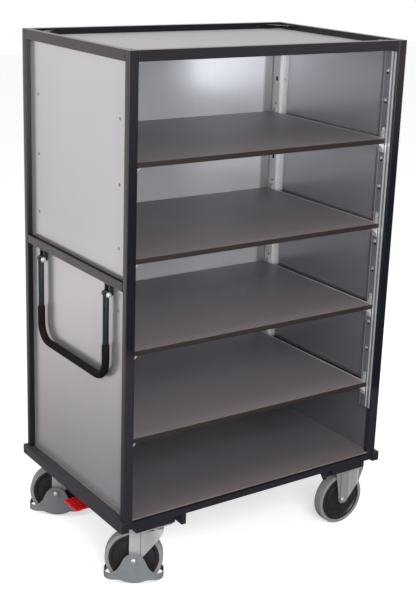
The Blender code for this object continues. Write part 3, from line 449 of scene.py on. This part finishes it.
# A black for painted shadows in gaps, hollows and slot openings
SHADOW_BLACK = coated("painted_shadow_black", (0.0025, 0.002, 0.002), (0.005, 0.004, 0.004), (0.6, 0.8),
                    specular=0.2)
# A painted highlight along the deck's front and rear edges
DECK_EDGE_HIGHLIGHT = coated("deck_edge_highlight", (0.20, 0.155, 0.14), (0.27, 0.215, 0.20), (0.35, 0.5), patch=0.05)
# A painted highlight for the boards' ends
EDGE_GLINT = coated("board_edge_glint", (0.56, 0.54, 0.56), (0.68, 0.66, 0.68), (0.35, 0.5), patch=0.05)

# The start of a carried-over piece's name, and the finish that it has in place of its slot's
OWN_FINISHES = {"back": BACK_SHEET, "top_panel": TOP_SHEET, "deck": DECK_FILM, "end_member": LOW_PAINT,
                "sill": LOW_PAINT, "caster_channel": LOW_PAINT, "cross_member": LOW_PAINT}


def own_finish(name, slot):
    """The finish of a carried-over piece: its own, or else that of its slot."""
    if "standard" in name:
        return REAR_ZINC if "rear" in name else STANDARD_ZINC
    for start, material in OWN_FINISHES.items():
        if name.startswith(start):
            return material
    return MATERIALS[slot]


# Mesh helpers

ALONG = {"X": lambda u, v, w: (w, u, v), "Y": lambda u, v, w: (u, w, v), "Z": lambda u, v, w: (u, v, w)}


def soften(piece, width):
    modifier = piece.modifiers.new("soft_edges", "BEVEL")
    modifier.width = width
    modifier.segments = 2
    modifier.limit_method = "ANGLE"
    modifier.angle_limit = math.radians(40)
    modifier.harden_normals = True
    return modifier


def finish_piece(name, body, material, rides_on, stands_for=(), at=Matrix.Identity(4), bevel=0.0,
                 smooth=40.0):
    """Turn a bmesh into a piece that rides on a CAD body."""
    bmesh.ops.recalc_face_normals(body, faces=body.faces)
    mesh = bpy.data.meshes.new(name)
    body.to_mesh(mesh)
    body.free()
    mesh.shade_smooth()
    mesh.set_sharp_from_angle(angle=math.radians(smooth))
    piece = bpy.data.objects.new(name, mesh)
    piece.matrix_world = at
    bpy.context.collection.objects.link(piece)
    mesh.materials.append(material)
    if bevel:
        soften(piece, bevel)
    if stands_for:
        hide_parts(*stands_for)
    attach(piece, rides_on)
    return piece


def arc(centre, radius, start, end, steps):
    """Points of a circle from one angle to another, both ends included."""
    return [(centre[0] + radius * math.cos(start + (end - start) * i / steps),
             centre[1] + radius * math.sin(start + (end - start) * i / steps)) for i in range(steps + 1)]


def circle(centre, radius, sides):
    return arc(centre, radius, 0.0, math.tau, sides)[:-1]


def oblong(u, v, far_u, far_v):
    """A rectangle's outline between two opposite corners."""
    return [(u, v), (far_u, v), (far_u, far_v), (u, far_v)]


def rounded(half_w, half_h, radius, steps=6):
    """A rectangle about the origin with round corners."""
    points = []
    for quarter, (sx, sy) in enumerate(((1, 1), (-1, 1), (-1, -1), (1, -1))):
        points += arc((sx * (half_w - radius), sy * (half_h - radius)), radius, QUARTER * quarter,
                      QUARTER * (quarter + 1), steps)
    return points


def skin(body, rings, loop=False):
    """Join each ring of points to the next; a loop joins the last to the first, else both ends are closed."""
    for first, second in zip(rings, rings[1:] + (rings[:1] if loop else [])):
        for i, vert in enumerate(first):
            j = (i + 1) % len(first)
            body.faces.new((vert, first[j], second[j], second[i]))
    if not loop:
        body.faces.new(rings[0])
        body.faces.new(rings[-1])
    return body


def prism(outline, low, high, axis="Z", body=None):
    """An outline drawn out along an axis."""
    body = body or bmesh.new()
    return skin(body, [[body.verts.new(ALONG[axis](u, v, w)) for u, v in outline] for w in (low, high)])


def turned(profile, sides, axis="Y", body=None, centre=(0, 0), solid=False):
    """Turn a profile of (radius, along); a solid one is closed at both ends, else it is a ring."""
    body = body or bmesh.new()
    rings = [[body.verts.new(ALONG[axis](u, v, along)) for u, v in circle(centre, radius, sides)]
             for radius, along in profile]
    return skin(body, rings, loop=not solid)


def bar(radius, start, end, sides, body=None):
    """A round bar along Y."""
    return turned([(radius, start), (radius, end)], sides, body=body, solid=True)


def swept(path, radii, sides):
    """A closed round bar along a path in the plane x = 0, with its own radius at each point."""
    body = bmesh.new()
    rings = []
    for i, ((y, z), radius) in enumerate(zip(path, radii)):
        before, after = path[max(i - 1, 0)], path[min(i + 1, len(path) - 1)]
        heading = Vector((0, after[0] - before[0], after[1] - before[1])).normalized()
        side = Vector((1, 0, 0)).cross(heading)
        rings.append([body.verts.new(Vector((u, y, z)) + side * v) for u, v in circle((0, 0), radius, sides)])
    return skin(body, rings)


def mirrored(profile):
    """A turned profile's other side."""
    return [(radius, -along) for radius, along in reversed(profile)]


def domed_head(radius, height, start, sides, body):
    """A domed bolt head that grows from start towards the low end of Y."""
    angles = [math.radians(degrees) for degrees in (0, 15, 30, 45, 60, 72, 82)]
    profile = [(radius, start)]
    profile += [(radius * math.cos(a), start - height * (0.25 + 0.75 * math.sin(a))) for a in angles]
    turned(profile, sides, body=body, solid=True)


# Carried-over metalwork: cleaned, softened at its edges and given its finish

EDGE_ROUNDING = {"top_rail": 0.0010, "sill": 0.0012, "cross_member": 0.0015, "crossbar": 0.0018,
                 "shelf": 0.0006, "deck": 0.0006}


def dress_frame():
    """Give each carried-over piece its finish, softened edges and clean corner normals."""
    for entry in frame["record"]["subparts"]:
        name = entry["node"]
        piece = NODES[name]
        piece.data.materials.clear()
        piece.data.materials.append(own_finish(name, entry["material_slot"]))
        attribute = piece.data.attributes.get("custom_normal")
        if attribute:
            piece.data.attributes.remove(attribute)
        piece.data.shade_smooth()
        weld = piece.modifiers.new("joined_corners", "WELD")
        weld.merge_threshold = 0.00001
        for start, width in EDGE_ROUNDING.items():
            if name.startswith(start):
                rounding = soften(piece, width)
                rounding.harden_normals = False
                rounding.angle_limit = math.radians(60)
        crisp = piece.modifiers.new("crisp_corners", "EDGE_SPLIT")
        crisp.split_angle = math.radians(30 if "panel" in name or "standard" in name else 50)
        piece.modifiers.new("flat_faces", "WEIGHTED_NORMAL")


# Wheels and casters

def build_tyre(name, rides_on, place):
    """A tyre with rounded shoulders and five fine grooves."""
    half, shoulder, groove = WHEEL_HALF_W, 0.0050, 0.0006
    side = [(WHEEL_R - TYRE_T, -half + 0.0025), (WHEEL_R - 0.0065, -half + 0.0006)]
    side += [(WHEEL_R - shoulder + shoulder * math.sin(a), -half + shoulder - shoulder * math.cos(a))
             for a in [math.radians(degrees) for degrees in range(0, 91, 15)]]
    tread = [(WHEEL_R - depth, -0.010 + 0.005 * line + across) for line in range(5)
             for depth, across in ((0, -0.0008), (groove, -0.0004), (groove, 0.0004), (0, 0.0008))]
    finish_piece(name, turned(side + tread + mirrored(side), 128), MATERIALS["tyre"], rides_on,
                 (name,), place, smooth=50)


def build_hub(name, rides_on, place):
    """A moulded disc: rim lip, dish, two raised rings, spokes between them and a bearing boss."""
    side = [(0.0063, 0.0225), (0.0100, 0.0230), (0.0150, 0.0228), (0.0165, 0.0200), (0.0170, 0.0150),
            (0.0230, 0.0130), (0.0240, 0.0150), (0.0290, 0.0150), (0.0300, 0.0125), (0.0480, 0.0115),
            (0.0490, 0.0132), (0.0530, 0.0132), (0.0540, 0.0115), (0.0690, 0.0105), (0.0725, 0.0120),
            (0.0750, 0.0165), (0.0770, 0.0178), (0.0838, 0.0178), (0.0852, 0.0168)]
    body = turned(side + mirrored(side), 96)
    spokes = 10
    for sign in BOTH:
        for spoke in range(spokes):
            turn = Matrix.Rotation(math.tau * (spoke + 0.5) / spokes, 4, "Y")
            start = len(body.verts)
            prism(oblong(0.0285, -0.0014, 0.0495, 0.0014), sign * 0.0110, sign * 0.0136, "Y", body)
            body.verts.ensure_lookup_table()
            for vert in body.verts[start:]:
                vert.co = turn @ vert.co
    finish_piece(name, body, MATERIALS["hub"], rides_on, (name,), place, smooth=30)


def build_axle(name, rides_on, place, out, collars):
    """An axle bolt to out on both sides: domed head, washer, nut, thread end and spacing collars."""
    shank_r, tip_r, head_r, washer_r, nut_r, collar_r = 0.0060, 0.0052, 0.0100, 0.0112, 0.0105, 0.0088
    washer_end, nut_end = out + 0.0016, out + 0.0066
    body = bar(shank_r, -out, out, 32)
    domed_head(head_r, 0.0084, -out, 40, body)
    domed_head(tip_r, 0.0018, -out - 0.0082, 24, body)
    bar(washer_r, out, washer_end, 40, body)
    prism(circle((0, 0), nut_r, 6), washer_end, nut_end, "Y", body)
    turned([(shank_r, nut_end), (tip_r, nut_end + 0.0018)], 24, body=body, solid=True)
    for first, last in collars:
        for sign in BOTH:
            bar(collar_r, sign * first, sign * last, 32, body)
    finish_piece(name, body, MATERIALS["zinc"], rides_on, (name,), place, bevel=0.0003)


def bell_height(along):
    """Top edge of the guard's long side above the floor, for a distance from the axle."""
    shape = ((0.0, 0.1235), (0.012, 0.1222), (0.0235, 0.1165), (0.033, 0.1070), (0.040, 0.0930),
             (0.048, 0.0750), (0.058, 0.0610), (0.074, 0.0515), (0.101, 0.0480))
    along = abs(along)
    for (a, low), (b, high) in zip(shape, shape[1:]):
        if along <= b:
            return low + (high - low) * (along - a) / (b - a)
    return shape[-1][1]


def build_guard(name, rides_on, place):
    """A pressed ring round the wheel, its long sides risen to a bell and its middle dipped."""
    outline = rounded(0.1008, 0.0408, 0.032, 12)
    longest, rows = 0.004, 8
    low_edge, dip_depth, dip_reach = 0.026, 0.0085, 0.048
    dense = []
    for (x, y), (next_x, next_y) in zip(outline, outline[1:] + outline[:1]):
        count = max(1, round(math.dist((x, y), (next_x, next_y)) / longest))
        dense += [(x + (next_x - x) * k / count, y + (next_y - y) * k / count) for k in range(count)]
    body = bmesh.new()
    columns = []
    for x, y in dense:
        dip = dip_depth * max(0.0, 1 - (x / dip_reach) ** 2)
        low, high = low_edge - dip - WHEEL_R, bell_height(x) - WHEEL_R
        columns.append([body.verts.new((x, y, low + (high - low) * row / rows)) for row in range(rows + 1)])
    for first, second in zip(columns, columns[1:] + columns[:1]):
        for row in range(rows):
            body.faces.new((first[row], second[row], second[row + 1], first[row + 1]))
    bmesh.ops.transform(body, matrix=place.to_3x3().to_4x4(), verts=body.verts)
    piece = finish_piece(name, body, MATERIALS["guard_steel"], rides_on, (name,),
                         Matrix.Translation(place.translation), smooth=60)
    wall = piece.modifiers.new("sheet_wall", "SOLIDIFY")
    wall.thickness = 0.0024
    wall.offset = -1.0
    soften(piece, 0.0006)


def fork_cheek(outline, side, creases, body):
    """One pressed cheek; at each crease, (place, lean), it has a groove, and past it leans out."""
    start = len(body.verts)
    inner, outer, groove, groove_half_w = 0.0240, 0.0270, 0.0011, 0.0014
    prism(outline, side * inner, side * outer, "Y", body)
    body.verts.ensure_lookup_table()
    cheek = body.verts[start:]
    edges = list({edge for vert in cheek for edge in vert.link_edges})
    faces = list({face for vert in cheek for face in vert.link_faces})
    geometry = cheek + edges + faces
    for place, _ in creases:
        for shift in (-groove_half_w, 0.0, groove_half_w):
            geometry = bmesh.ops.bisect_plane(body, geom=geometry, plane_co=(place + shift, 0, 0),
                                              plane_no=(1, 0, 0))["geom"]
    for vert in [item for item in geometry if isinstance(item, bmesh.types.BMVert)]:
        for place, lean in creases:
            if abs(vert.co.x - place) < 0.0002:
                vert.co.y -= side * groove
            if (vert.co.x - place) * math.copysign(1, lean) > 0:
                vert.co.y += side * abs(vert.co.x - place) * abs(lean)


def build_fork(name, rides_on, place, outline, creases, crown, material, body):
    """A fork added to what the body holds: two cheeks and their crown, (back, front, low, high)."""
    for side in BOTH:
        fork_cheek(outline, side, creases, body)
    back, front, low, high = crown
    half_w, edge = 0.0268, []
    for along in (back, *[place_x for place_x, _ in creases], front):
        lean_out = [abs(lean) * max(0.0, math.copysign(1, lean) * (along - place_x))
                    for place_x, lean in creases]
        edge.append((along, half_w + sum(lean_out)))
    prism([(u, -v) for u, v in edge] + [(u, v) for u, v in reversed(edge)], low, high, "Z", body)
    finish_piece(name, body, material, rides_on, (name,), place, bevel=0.0007, smooth=25)


def fork_foot(front_x, end):
    """The round lower end of a fork's outline, drawn from the back to the front."""
    radius = 0.016
    foot = arc((0, 0), radius, math.pi, 3 * QUARTER, 8)
    return foot + arc((front_x, 0), radius, 3 * QUARTER, math.tau - end, 6)


def build_swivel_caster(name, wheel, place):
    build_tyre(name + "_tyre", wheel, place)
    build_hub(name + "_hub", wheel, place)
    build_axle(name + "_axle", name, place, 0.0413, ((0.0273, 0.0382),))
    build_guard(name + "_guard", name, place)
    top = CROWN_TOP_Z - WHEEL_R
    crown_low, back, front = top - 0.004, -0.016, 0.0985
    outline = [(back, crown_low)] + fork_foot(0.005, math.pi / 5)
    outline += [(0.082, top - 0.039), (0.0919, top - 0.0203), (0.0978, top - 0.0059), (front, crown_low)]
    race = turned([(0.030, top), (0.034, top - 0.002), (0.034, top - 0.0039)], 48, "Z",
                  centre=(TRAIL, 0), solid=True)
    build_fork(name + "_fork", name, place, outline, ((0.022, 0.065),),
               (back, front, crown_low, top - 0.0002), SWIVEL_STEEL, race)
    # Painted shade: a dark ring in the gap between the fork's crown and the plate
    race_shade_ring = turned(oblong(0.0300, top - 0.0045, 0.0368, top + 0.0064), 48, "Z", centre=(TRAIL, 0))
    finish_piece(name + "_seal", race_shade_ring, MATERIALS["hub"], name, at=place, bevel=0.0004)


def build_fixed_caster(name, wheel, place):
    build_tyre(name + "_tyre", wheel, place)
    build_hub(name + "_hub", wheel, place)
    build_axle(name + "_axle", "frame", place, 0.0273, ())
    top = PLATE_LOW_Z - WHEEL_R
    cheek_top, back, front = top - 0.002, -0.035, 0.0920
    outline = [(back, cheek_top), (back, top - 0.010)] + fork_foot(0.010, math.pi / 8)
    outline += [(0.0716, top - 0.0667), (front, top - 0.0138), (front, cheek_top)]
    body = prism([(u + 0.009, v) for u, v in rounded(0.061, 0.048, 0.008)], top, top + 0.0038)
    web = [(-0.024, top - 0.003), (0.024, top - 0.003), (0.024, top - 0.030), (0.014, top - 0.048),
           (-0.014, top - 0.048), (-0.024, top - 0.030)]
    prism(web, 0.0690, 0.0718, "X", body)
    for across in (-0.042, 0.058):
        for sy in BOTH:
            prism(circle((across, sy * 0.039), 0.0065, 6), top - 0.005, top, "Z", body)
    build_fork(name + "_fork", "frame", place, outline, ((-0.012, -0.05), (0.026, 0.035), (0.069, 0.0)),
               (back, 0.072, top - 0.004, top), FIXED_STEEL, body)


def build_casters():
    turn = Matrix.Rotation(SWIVEL_TURN, 4, "Z") @ Matrix.Translation((-TRAIL, 0, 0))
    for end, y in CASTER_YS.items():
        build_swivel_caster("swivel_" + end, "wheel_" + end + "_left",
                            Matrix.Translation((-CASTER_X, y, WHEEL_R)) @ turn)
        build_fixed_caster("fixed_" + end, "wheel_" + end + "_right",
                           Matrix.Translation((CASTER_X, y, WHEEL_R)))


# Push handle

def handle_path(start):
    """The bent bar's middle line, from a height on its front leg to the same on its rear leg."""
    drop, bend = 0.288, 0.060
    points = [(-LEG_Y, start), (-LEG_Y, start - 0.004)]
    points += arc((-LEG_Y + bend, -drop + bend), bend, math.pi, 3 * QUARTER, 20)
    return points + [(-y, z) for y, z in reversed(points)]


def build_handle():
    place = Matrix.Translation(HANDLE_PIVOT)
    for name, start, end_r, radius, slot, node_name in (
            ("handle_bar", 0.012, 0.0080, 0.0100, "handle_steel", "handle_tube"),
            ("handle_sleeve", -0.1675, 0.0115, 0.01270, "grip", "handle_grip")):
        path = handle_path(start)
        body = swept(path, [end_r] + [radius] * (len(path) - 2) + [end_r], 40)
        finish_piece(name, body, MATERIALS[slot], "handle", (node_name,), place)
    half, washer_y, head_y, nut_y, nut_end = 0.0165, 0.0163, -0.0178, 0.0175, 0.0205
    for end, sy in (("front", -1), ("rear", 1)):
        body = bar(0.0040, -half, half, 24)
        bar(0.0094, head_y, -washer_y, 40, body)
        domed_head(0.0084, 0.0068, head_y, 40, body)
        bar(0.0085, washer_y, nut_y, 32, body)
        prism(circle((0, 0), 0.0070, 6), nut_y, nut_end, "Y", body)
        turned([(0.0038, nut_end), (0.0034, nut_end + 0.0018)], 20, body=body, solid=True)
        name = "handle_bolt_" + end
        finish_piece(name, body, MATERIALS["zinc"], "frame", (name,),
                     Matrix.Translation(HANDLE_PIVOT + Vector((0, sy * LEG_Y, 0))), bevel=0.0003)


def build_brackets():
    """The folded bracket of each handle leg: two cheeks with an eye for the bolt, and a top plate."""
    near, far, plate_z, top_z, eye_r = 0.0030, 0.0182, 0.0290, 0.0326, 0.0050
    eye = arc((0, 0), eye_r, math.radians(110), math.radians(310), 10)
    side = [(near, top_z), (near, 0.0100)] + eye + [(0.0100, -0.0060), (far, -0.0030), (far, top_z)]
    for end, sy in (("front", -1), ("rear", 1)):
        body = prism(oblong(near, plate_z, far, top_z), -0.0140, 0.0140, "Y")
        for edge in BOTH:
            prism(side, edge * 0.0112, edge * 0.0162, "Y", body)
        name = "handle_bracket_" + end
        finish_piece(name, body, LOW_PAINT, "frame", (name,),
                     Matrix.Translation(HANDLE_PIVOT + Vector((0, sy * LEG_Y, 0))), bevel=0.0004)


# Foot brake

def build_pedal():
    """A moulded pedal: arm round the shaft, tread plate with a rolled nose, cross ribs and side lips."""
    low, high, half_w = -0.0315, -0.0262, 0.0420
    nose = arc((-0.0845, (low + high) / 2), (high - low) / 2 - 0.0001, QUARTER, 3 * QUARTER, 8)
    hub = arc((0, 0), 0.0119, -QUARTER, math.pi, 24)
    body = prism(nose + [(-0.030, low)] + hub + [(-0.030, high)], -half_w, half_w, "Y")
    lip = [(-0.085, -0.0300), (-0.012, -0.0270), (-0.004, -0.0100), (-0.010, 0.0020), (-0.030, -0.0225),
           (-0.084, -0.0247)]
    for sign in BOTH:
        prism(lip, sign * 0.0415, sign * 0.0438, "Y", body)
    for rib in range(7):
        middle, foot_z, top_z = -0.0815 + 0.0075 * rib, high - 0.0005, -0.0246
        prism([(middle - 0.0017, foot_z), (middle + 0.0017, foot_z), (middle + 0.0009, top_z),
               (middle - 0.0009, top_z)], -0.0400, 0.0400, "Y", body)
    finish_piece("pedal_moulding", body, MATERIALS["pedal_red"], "brake", ("brake_pedal",),
                 Matrix.Translation(BRAKE_AXIS + Vector((0, 0.007, 0))), bevel=0.0005)


# Small fixings

def build_slot_tabs():
    """The pressed tab above each front slot's foot, which stands a little proud of the web; its bright zinc
    is a painted highlight for the light seen in each slot.
    """
    body = bmesh.new()
    half = 0.0062
    for sx in BOTH:
        for z in SLOT_ZS:
            lower, upper = z - 0.0002, z + 0.0102
            side = [(WEB_X, upper), (WEB_X - 0.0012, upper), (WEB_X - 0.0026, z + 0.0050),
                    (WEB_X - 0.0026, lower), (WEB_X - 0.0014, lower)]
            prism([(sx * x, height) for x, height in side], SLOT_Y[-1] - half, SLOT_Y[-1] + half, "Y", body)
    finish_piece("slot_tabs", body, BRIGHT_ZINC, "frame", bevel=0.0004)


def build_slot_backs():
    """Painted shade: a dark sheet in the hollow of each standard, seen through its slots, and dark plates in
    the rear slots' openings.
    """
    body = bmesh.new()
    hollow, opening = 0.012, 0.0050
    for sx, sy in CORNERS:
        prism(oblong(sx * 0.5125, 0.555, sx * 0.5135, 1.700), SLOT_Y[sy] - hollow, SLOT_Y[sy] + hollow, "Y",
              body)
    for sx in BOTH:
        for z in SLOT_ZS:
            prism(oblong(sx * (WEB_X - 0.0004), z - 0.0075, sx * (WEB_X + 0.0003), z + 0.0090),
                  SLOT_Y[1] - opening, SLOT_Y[1] + opening, "Y", body)
    finish_piece("slot_shadows", body, SHADOW_BLACK, "frame")


def build_clip_hooks():
    """The curled bracket of each shelf clip under the board, and its hook above the board."""
    body = bmesh.new()
    gap, drop = 0.0008, 0.030
    for sx, sy in CORNERS:
        for top in SHELF_TOPS:
            under = top - SHELF_T - gap
            bracket = [(WEB_X - 0.029, under), (WEB_X - 0.0035, under), (WEB_X - 0.0035, under - drop),
                       (WEB_X - 0.0065, under - drop), (WEB_X - 0.0075, under - 0.019)]
            hook = [(WEB_X - 0.0012, top + 0.018), (WEB_X - 0.0050, top + 0.015),
                    (WEB_X - 0.0058, top + 0.001), (WEB_X - 0.0012, top + 0.001)]
            for outline, half in ((bracket, 0.012), (hook, 0.0075)):
                prism([(sx * x, z) for x, z in outline], SLOT_Y[sy] - half, SLOT_Y[sy] + half, "Y", body)
    finish_piece("clip_hooks", body, BRIGHT_ZINC, "frame", bevel=0.0005)


def build_member_caps():
    """Pressed caps in the front and rear ends of the left cross member."""
    body = bmesh.new()
    middle, half = -0.3055, 0.0088
    for sy in BOTH:
        prism(oblong(middle - half, 0.2430, middle + half, 0.2054), sy * 0.3502, sy * 0.3462, "Y", body)
    finish_piece("member_caps", body, MATERIALS["frame_paint"], "frame", bevel=0.0008)


def build_gussets():
    """Small plates that close the gap between the right cross member and the channel at front and rear."""
    body = bmesh.new()
    outline = [(0.3148, 0.2080), (0.3600, 0.2140), (0.3600, 0.2226), (0.3408, 0.2226), (0.3408, 0.2428),
               (0.3148, 0.2428)]
    for sy in BOTH:
        prism(outline, sy * 0.3300, sy * 0.3270, "Y", body)
    finish_piece("base_gussets", body, MATERIALS["frame_paint"], "frame", bevel=0.0004)


def build_shelf_trims():
    """A painted shadow in the gap between each board and the side panels, and a painted highlight along the
    board's ends.
    """
    gaps, lines = bmesh.new(), bmesh.new()
    for sx in BOTH:
        for top in SHELF_TOPS:
            prism(oblong(sx * 0.5030, top - 0.0030, sx * 0.5190, top - 0.0015), -0.262, 0.262, "Y", gaps)
            prism([(sx * 0.4976, top + 0.0001), (sx * 0.5024, top + 0.0001), (sx * 0.5022, top + 0.0006),
                   (sx * 0.4978, top + 0.0006)], -0.3160, 0.3290, "Y", lines)
    finish_piece("board_gap_shadows", gaps, SHADOW_BLACK, "frame")
    finish_piece("board_end_highlights", lines, EDGE_GLINT, "frame")


def build_deck_edges():
    """A painted shadow strip along the deck's edge above the front and rear sills, and a painted highlight
    line along its top.
    """
    half_l = 0.5055
    for name, material, low, high, outer, inner in (
            ("deck_edge_shadow", SHADOW_BLACK, 0.2665, 0.2738, 0.3503, 0.3480),
            ("deck_edge_line", DECK_EDGE_HIGHLIGHT, 0.2739, 0.2753, 0.3490, 0.3440)):
        body = bmesh.new()
        for sy in BOTH:
            prism(oblong(sy * outer, low, sy * inner, high), -half_l, half_l, "X", body)
        finish_piece(name, body, material, "frame", bevel=0.0003)


def build_rivet_seats():
    """The dark stem left in each rivet of the side panels, and the shadow line round its head."""
    body = bmesh.new()
    for sx, sy in CORNERS:
        face = sx * 0.5214
        for z in PANEL_RIVET_ZS:
            turned([(0.0052, face), (0.0052, face + sx * 0.0003), (0.0036, face + sx * 0.0005)], 20, "X",
                   body, (sy * 0.270, z))
            turned([(0.0016, face), (0.0016, face + sx * 0.0021), (0.0009, face + sx * 0.0024)], 12, "X",
                   body, (sy * 0.270, z), solid=True)
    finish_piece("rivet_stems_and_shadows", body, MATERIALS["handle_steel"], "frame")


def build_flange_rivets():
    """The rivets of the standards' flanges."""
    body = bmesh.new()
    for sx in BOTH:
        head = [(radius, sx * (FLANGE_X - height)) for radius, height in
                ((0.0038, 0.0), (0.0035, 0.0010), (0.0022, 0.0017), (0.0006, 0.0020))]
        for y in (-0.272, 0.274):
            for z in FLANGE_RIVET_ZS:
                turned(head, 20, "X", body, (y, z), solid=True)
    finish_piece("flange_rivets", body, MATERIALS["zinc"], "frame")


def build_strip_screws():
    """The flat screws in the strips across the rim's inner corners."""
    body = bmesh.new()
    head = [(0.0050, 1.7755), (0.0048, 1.7758), (0.0040, 1.7761), (0.0010, 1.7762)]
    for sx, sy in CORNERS:
        for u, v in ((0.485, 0.268), (0.462, 0.291)):
            turned(head, 24, "Z", body, (sx * u, sy * v), solid=True)
    finish_piece("strip_screws", body, MATERIALS["frame_paint"], "frame")


# Floor, backdrop, light and camera

WHITE = (1.0, 1.0, 1.0)


def side_of_room(tree, vector, low, high):
    """The mirrored studio: warm white behind the object and to its left, dim and cool elsewhere."""
    place = split(tree, vector)
    across = calc(tree, "SUBTRACT", place["Y"], place["X"])
    return blend(tree, mapped(tree, across, low, high), (0.10, 0.118, 0.155), (0.97, 0.93, 0.93))


def mirror_or_plain(tree, tint):
    """Plain white for every ray but those that mirror the room in the object."""
    return blend(tree, node(tree, "ShaderNodeLightPath").outputs["Is Glossy Ray"], WHITE, tint)


def seen_or_not(tree, unseen, seen):
    """One value for the rays that only light things, another for those that show the backdrop."""
    path = node(tree, "ShaderNodeLightPath").outputs
    total = path["Is Camera Ray"]
    for kind in ("Is Glossy Ray", "Is Transmission Ray"):
        total = calc(tree, "MAXIMUM", total, path[kind])
    return mapped(tree, total, 0.0, 1.0, unseen, seen)


def build_floor():
    """A plain pale floor that keeps the object's shadow; as mirrored in the object it carries painted shade
    near the object, fading to white away from it.
    """
    floor, reach = bmesh.new(), 14.0
    bmesh.ops.create_grid(floor, x_segments=1, y_segments=1, size=reach)
    mesh = bpy.data.meshes.new("studio_floor")
    floor.to_mesh(mesh)
    floor.free()
    piece = bpy.data.objects.new("studio_floor", mesh)
    bpy.context.collection.objects.link(piece)
    finish = Finish("floor_white", specular=0.1)
    tree, inputs = finish.tree, finish.shader.inputs
    inputs["Roughness"].default_value = 0.9
    place = node(tree, "ShaderNodeNewGeometry").outputs["Position"]
    distance = node(tree, "ShaderNodeVectorMath", {0: place}, operation="LENGTH").outputs["Value"]
    # Painted shade: the floor as the object mirrors it is darker and warmer near the object
    near = blend(tree, mapped(tree, distance, 1.0, 3.6), (0.50, 0.455, 0.44), WHITE)
    room = node(tree, "ShaderNodeVectorMath", {0: side_of_room(tree, place, 0.5, 4.5), 1: near},
                operation="MULTIPLY").outputs[0]
    white = mirror_or_plain(tree, room)
    link(tree, white, inputs["Emission Color"])
    link(tree, scaled(tree, white, 0.86), inputs["Base Color"])
    link(tree, seen_or_not(tree, 0.0, 0.51), inputs["Emission Strength"])
    mesh.materials.append(finish.material)


def build_backdrop():
    """The studio round the object: white to the camera, two-toned in the object's reflections."""
    world = bpy.data.worlds.new("studio")
    bpy.context.scene.world = world
    world.use_nodes = True
    tree = world.node_tree
    inputs = tree.nodes["Background"].inputs
    outwards = node(tree, "ShaderNodeTexCoord").outputs["Generated"]
    link(tree, mirror_or_plain(tree, side_of_room(tree, outwards, -0.9, -0.2)), inputs["Color"])
    link(tree, seen_or_not(tree, 0.50, 1.0), inputs["Strength"])


def softbox(name, place, target, size, power, colour=WHITE):
    lamp = bpy.data.lights.new(name, "AREA")
    lamp.shape = "RECTANGLE"
    lamp.size, lamp.size_y = size
    lamp.energy = power
    lamp.color = colour
    holder = bpy.data.objects.new(name, lamp)
    holder.location = place
    holder.rotation_euler = (Vector(target) - Vector(place)).to_track_quat("-Z", "Y").to_euler()
    bpy.context.collection.objects.link(holder)


def build_camera():
    """The camera solved from the photo's edges."""
    azimuth, elevation, roll = math.radians(34.88), math.radians(17.28), math.radians(1.97)
    place = (-2.2934, -3.314, 2.1511)
    ahead = Vector((math.sin(azimuth) * math.cos(elevation), math.cos(azimuth) * math.cos(elevation),
                    -math.sin(elevation)))
    level = Vector((math.cos(azimuth), -math.sin(azimuth), 0))
    upright = level.cross(ahead)
    right = level * math.cos(roll) + upright * math.sin(roll)
    up = upright * math.cos(roll) - level * math.sin(roll)
    data = bpy.data.cameras.new("photo_camera")
    data.sensor_fit = "VERTICAL"
    data.sensor_height = 24.0
    data.lens = 47.5
    data.shift_x = -0.0052
    data.shift_y = -0.0213
    camera = bpy.data.objects.new("photo_camera", data)
    turn = Matrix((right, up, -ahead)).transposed()
    camera.matrix_world = Matrix.Translation(place) @ turn.to_4x4()
    bpy.context.collection.objects.link(camera)
    bpy.context.scene.camera = camera


dress_frame()
build_casters()
build_handle()
build_pedal()
build_slot_tabs()
build_slot_backs()
build_clip_hooks()
build_member_caps()
build_gussets()
build_brackets()
build_shelf_trims()
build_deck_edges()
build_rivet_seats()
build_flange_rivets()
build_strip_screws()
build_floor()
build_backdrop()
softbox("left_key", (-4.2, -0.4, 2.8), (0, 0, 1.0), (1.5, 1.5), 84, (1.0, 0.985, 0.97))
softbox("front_key", (-1.2, -3.4, 2.5), (0, 0, 1.1), (1.8, 1.8), 110)
softbox("top_wash", (-0.4, 0.2, 4.6), (0, 0, 1.0), (2.6, 2.0), 37)
softbox("inside_glow", (-1.20, -2.8, 1.10), (0.52, -0.03, 1.55), (0.62, 0.7), 20.5, (0.93, 0.97, 1.0))
build_camera()
bpy.context.scene.view_settings.view_transform = "Standard"
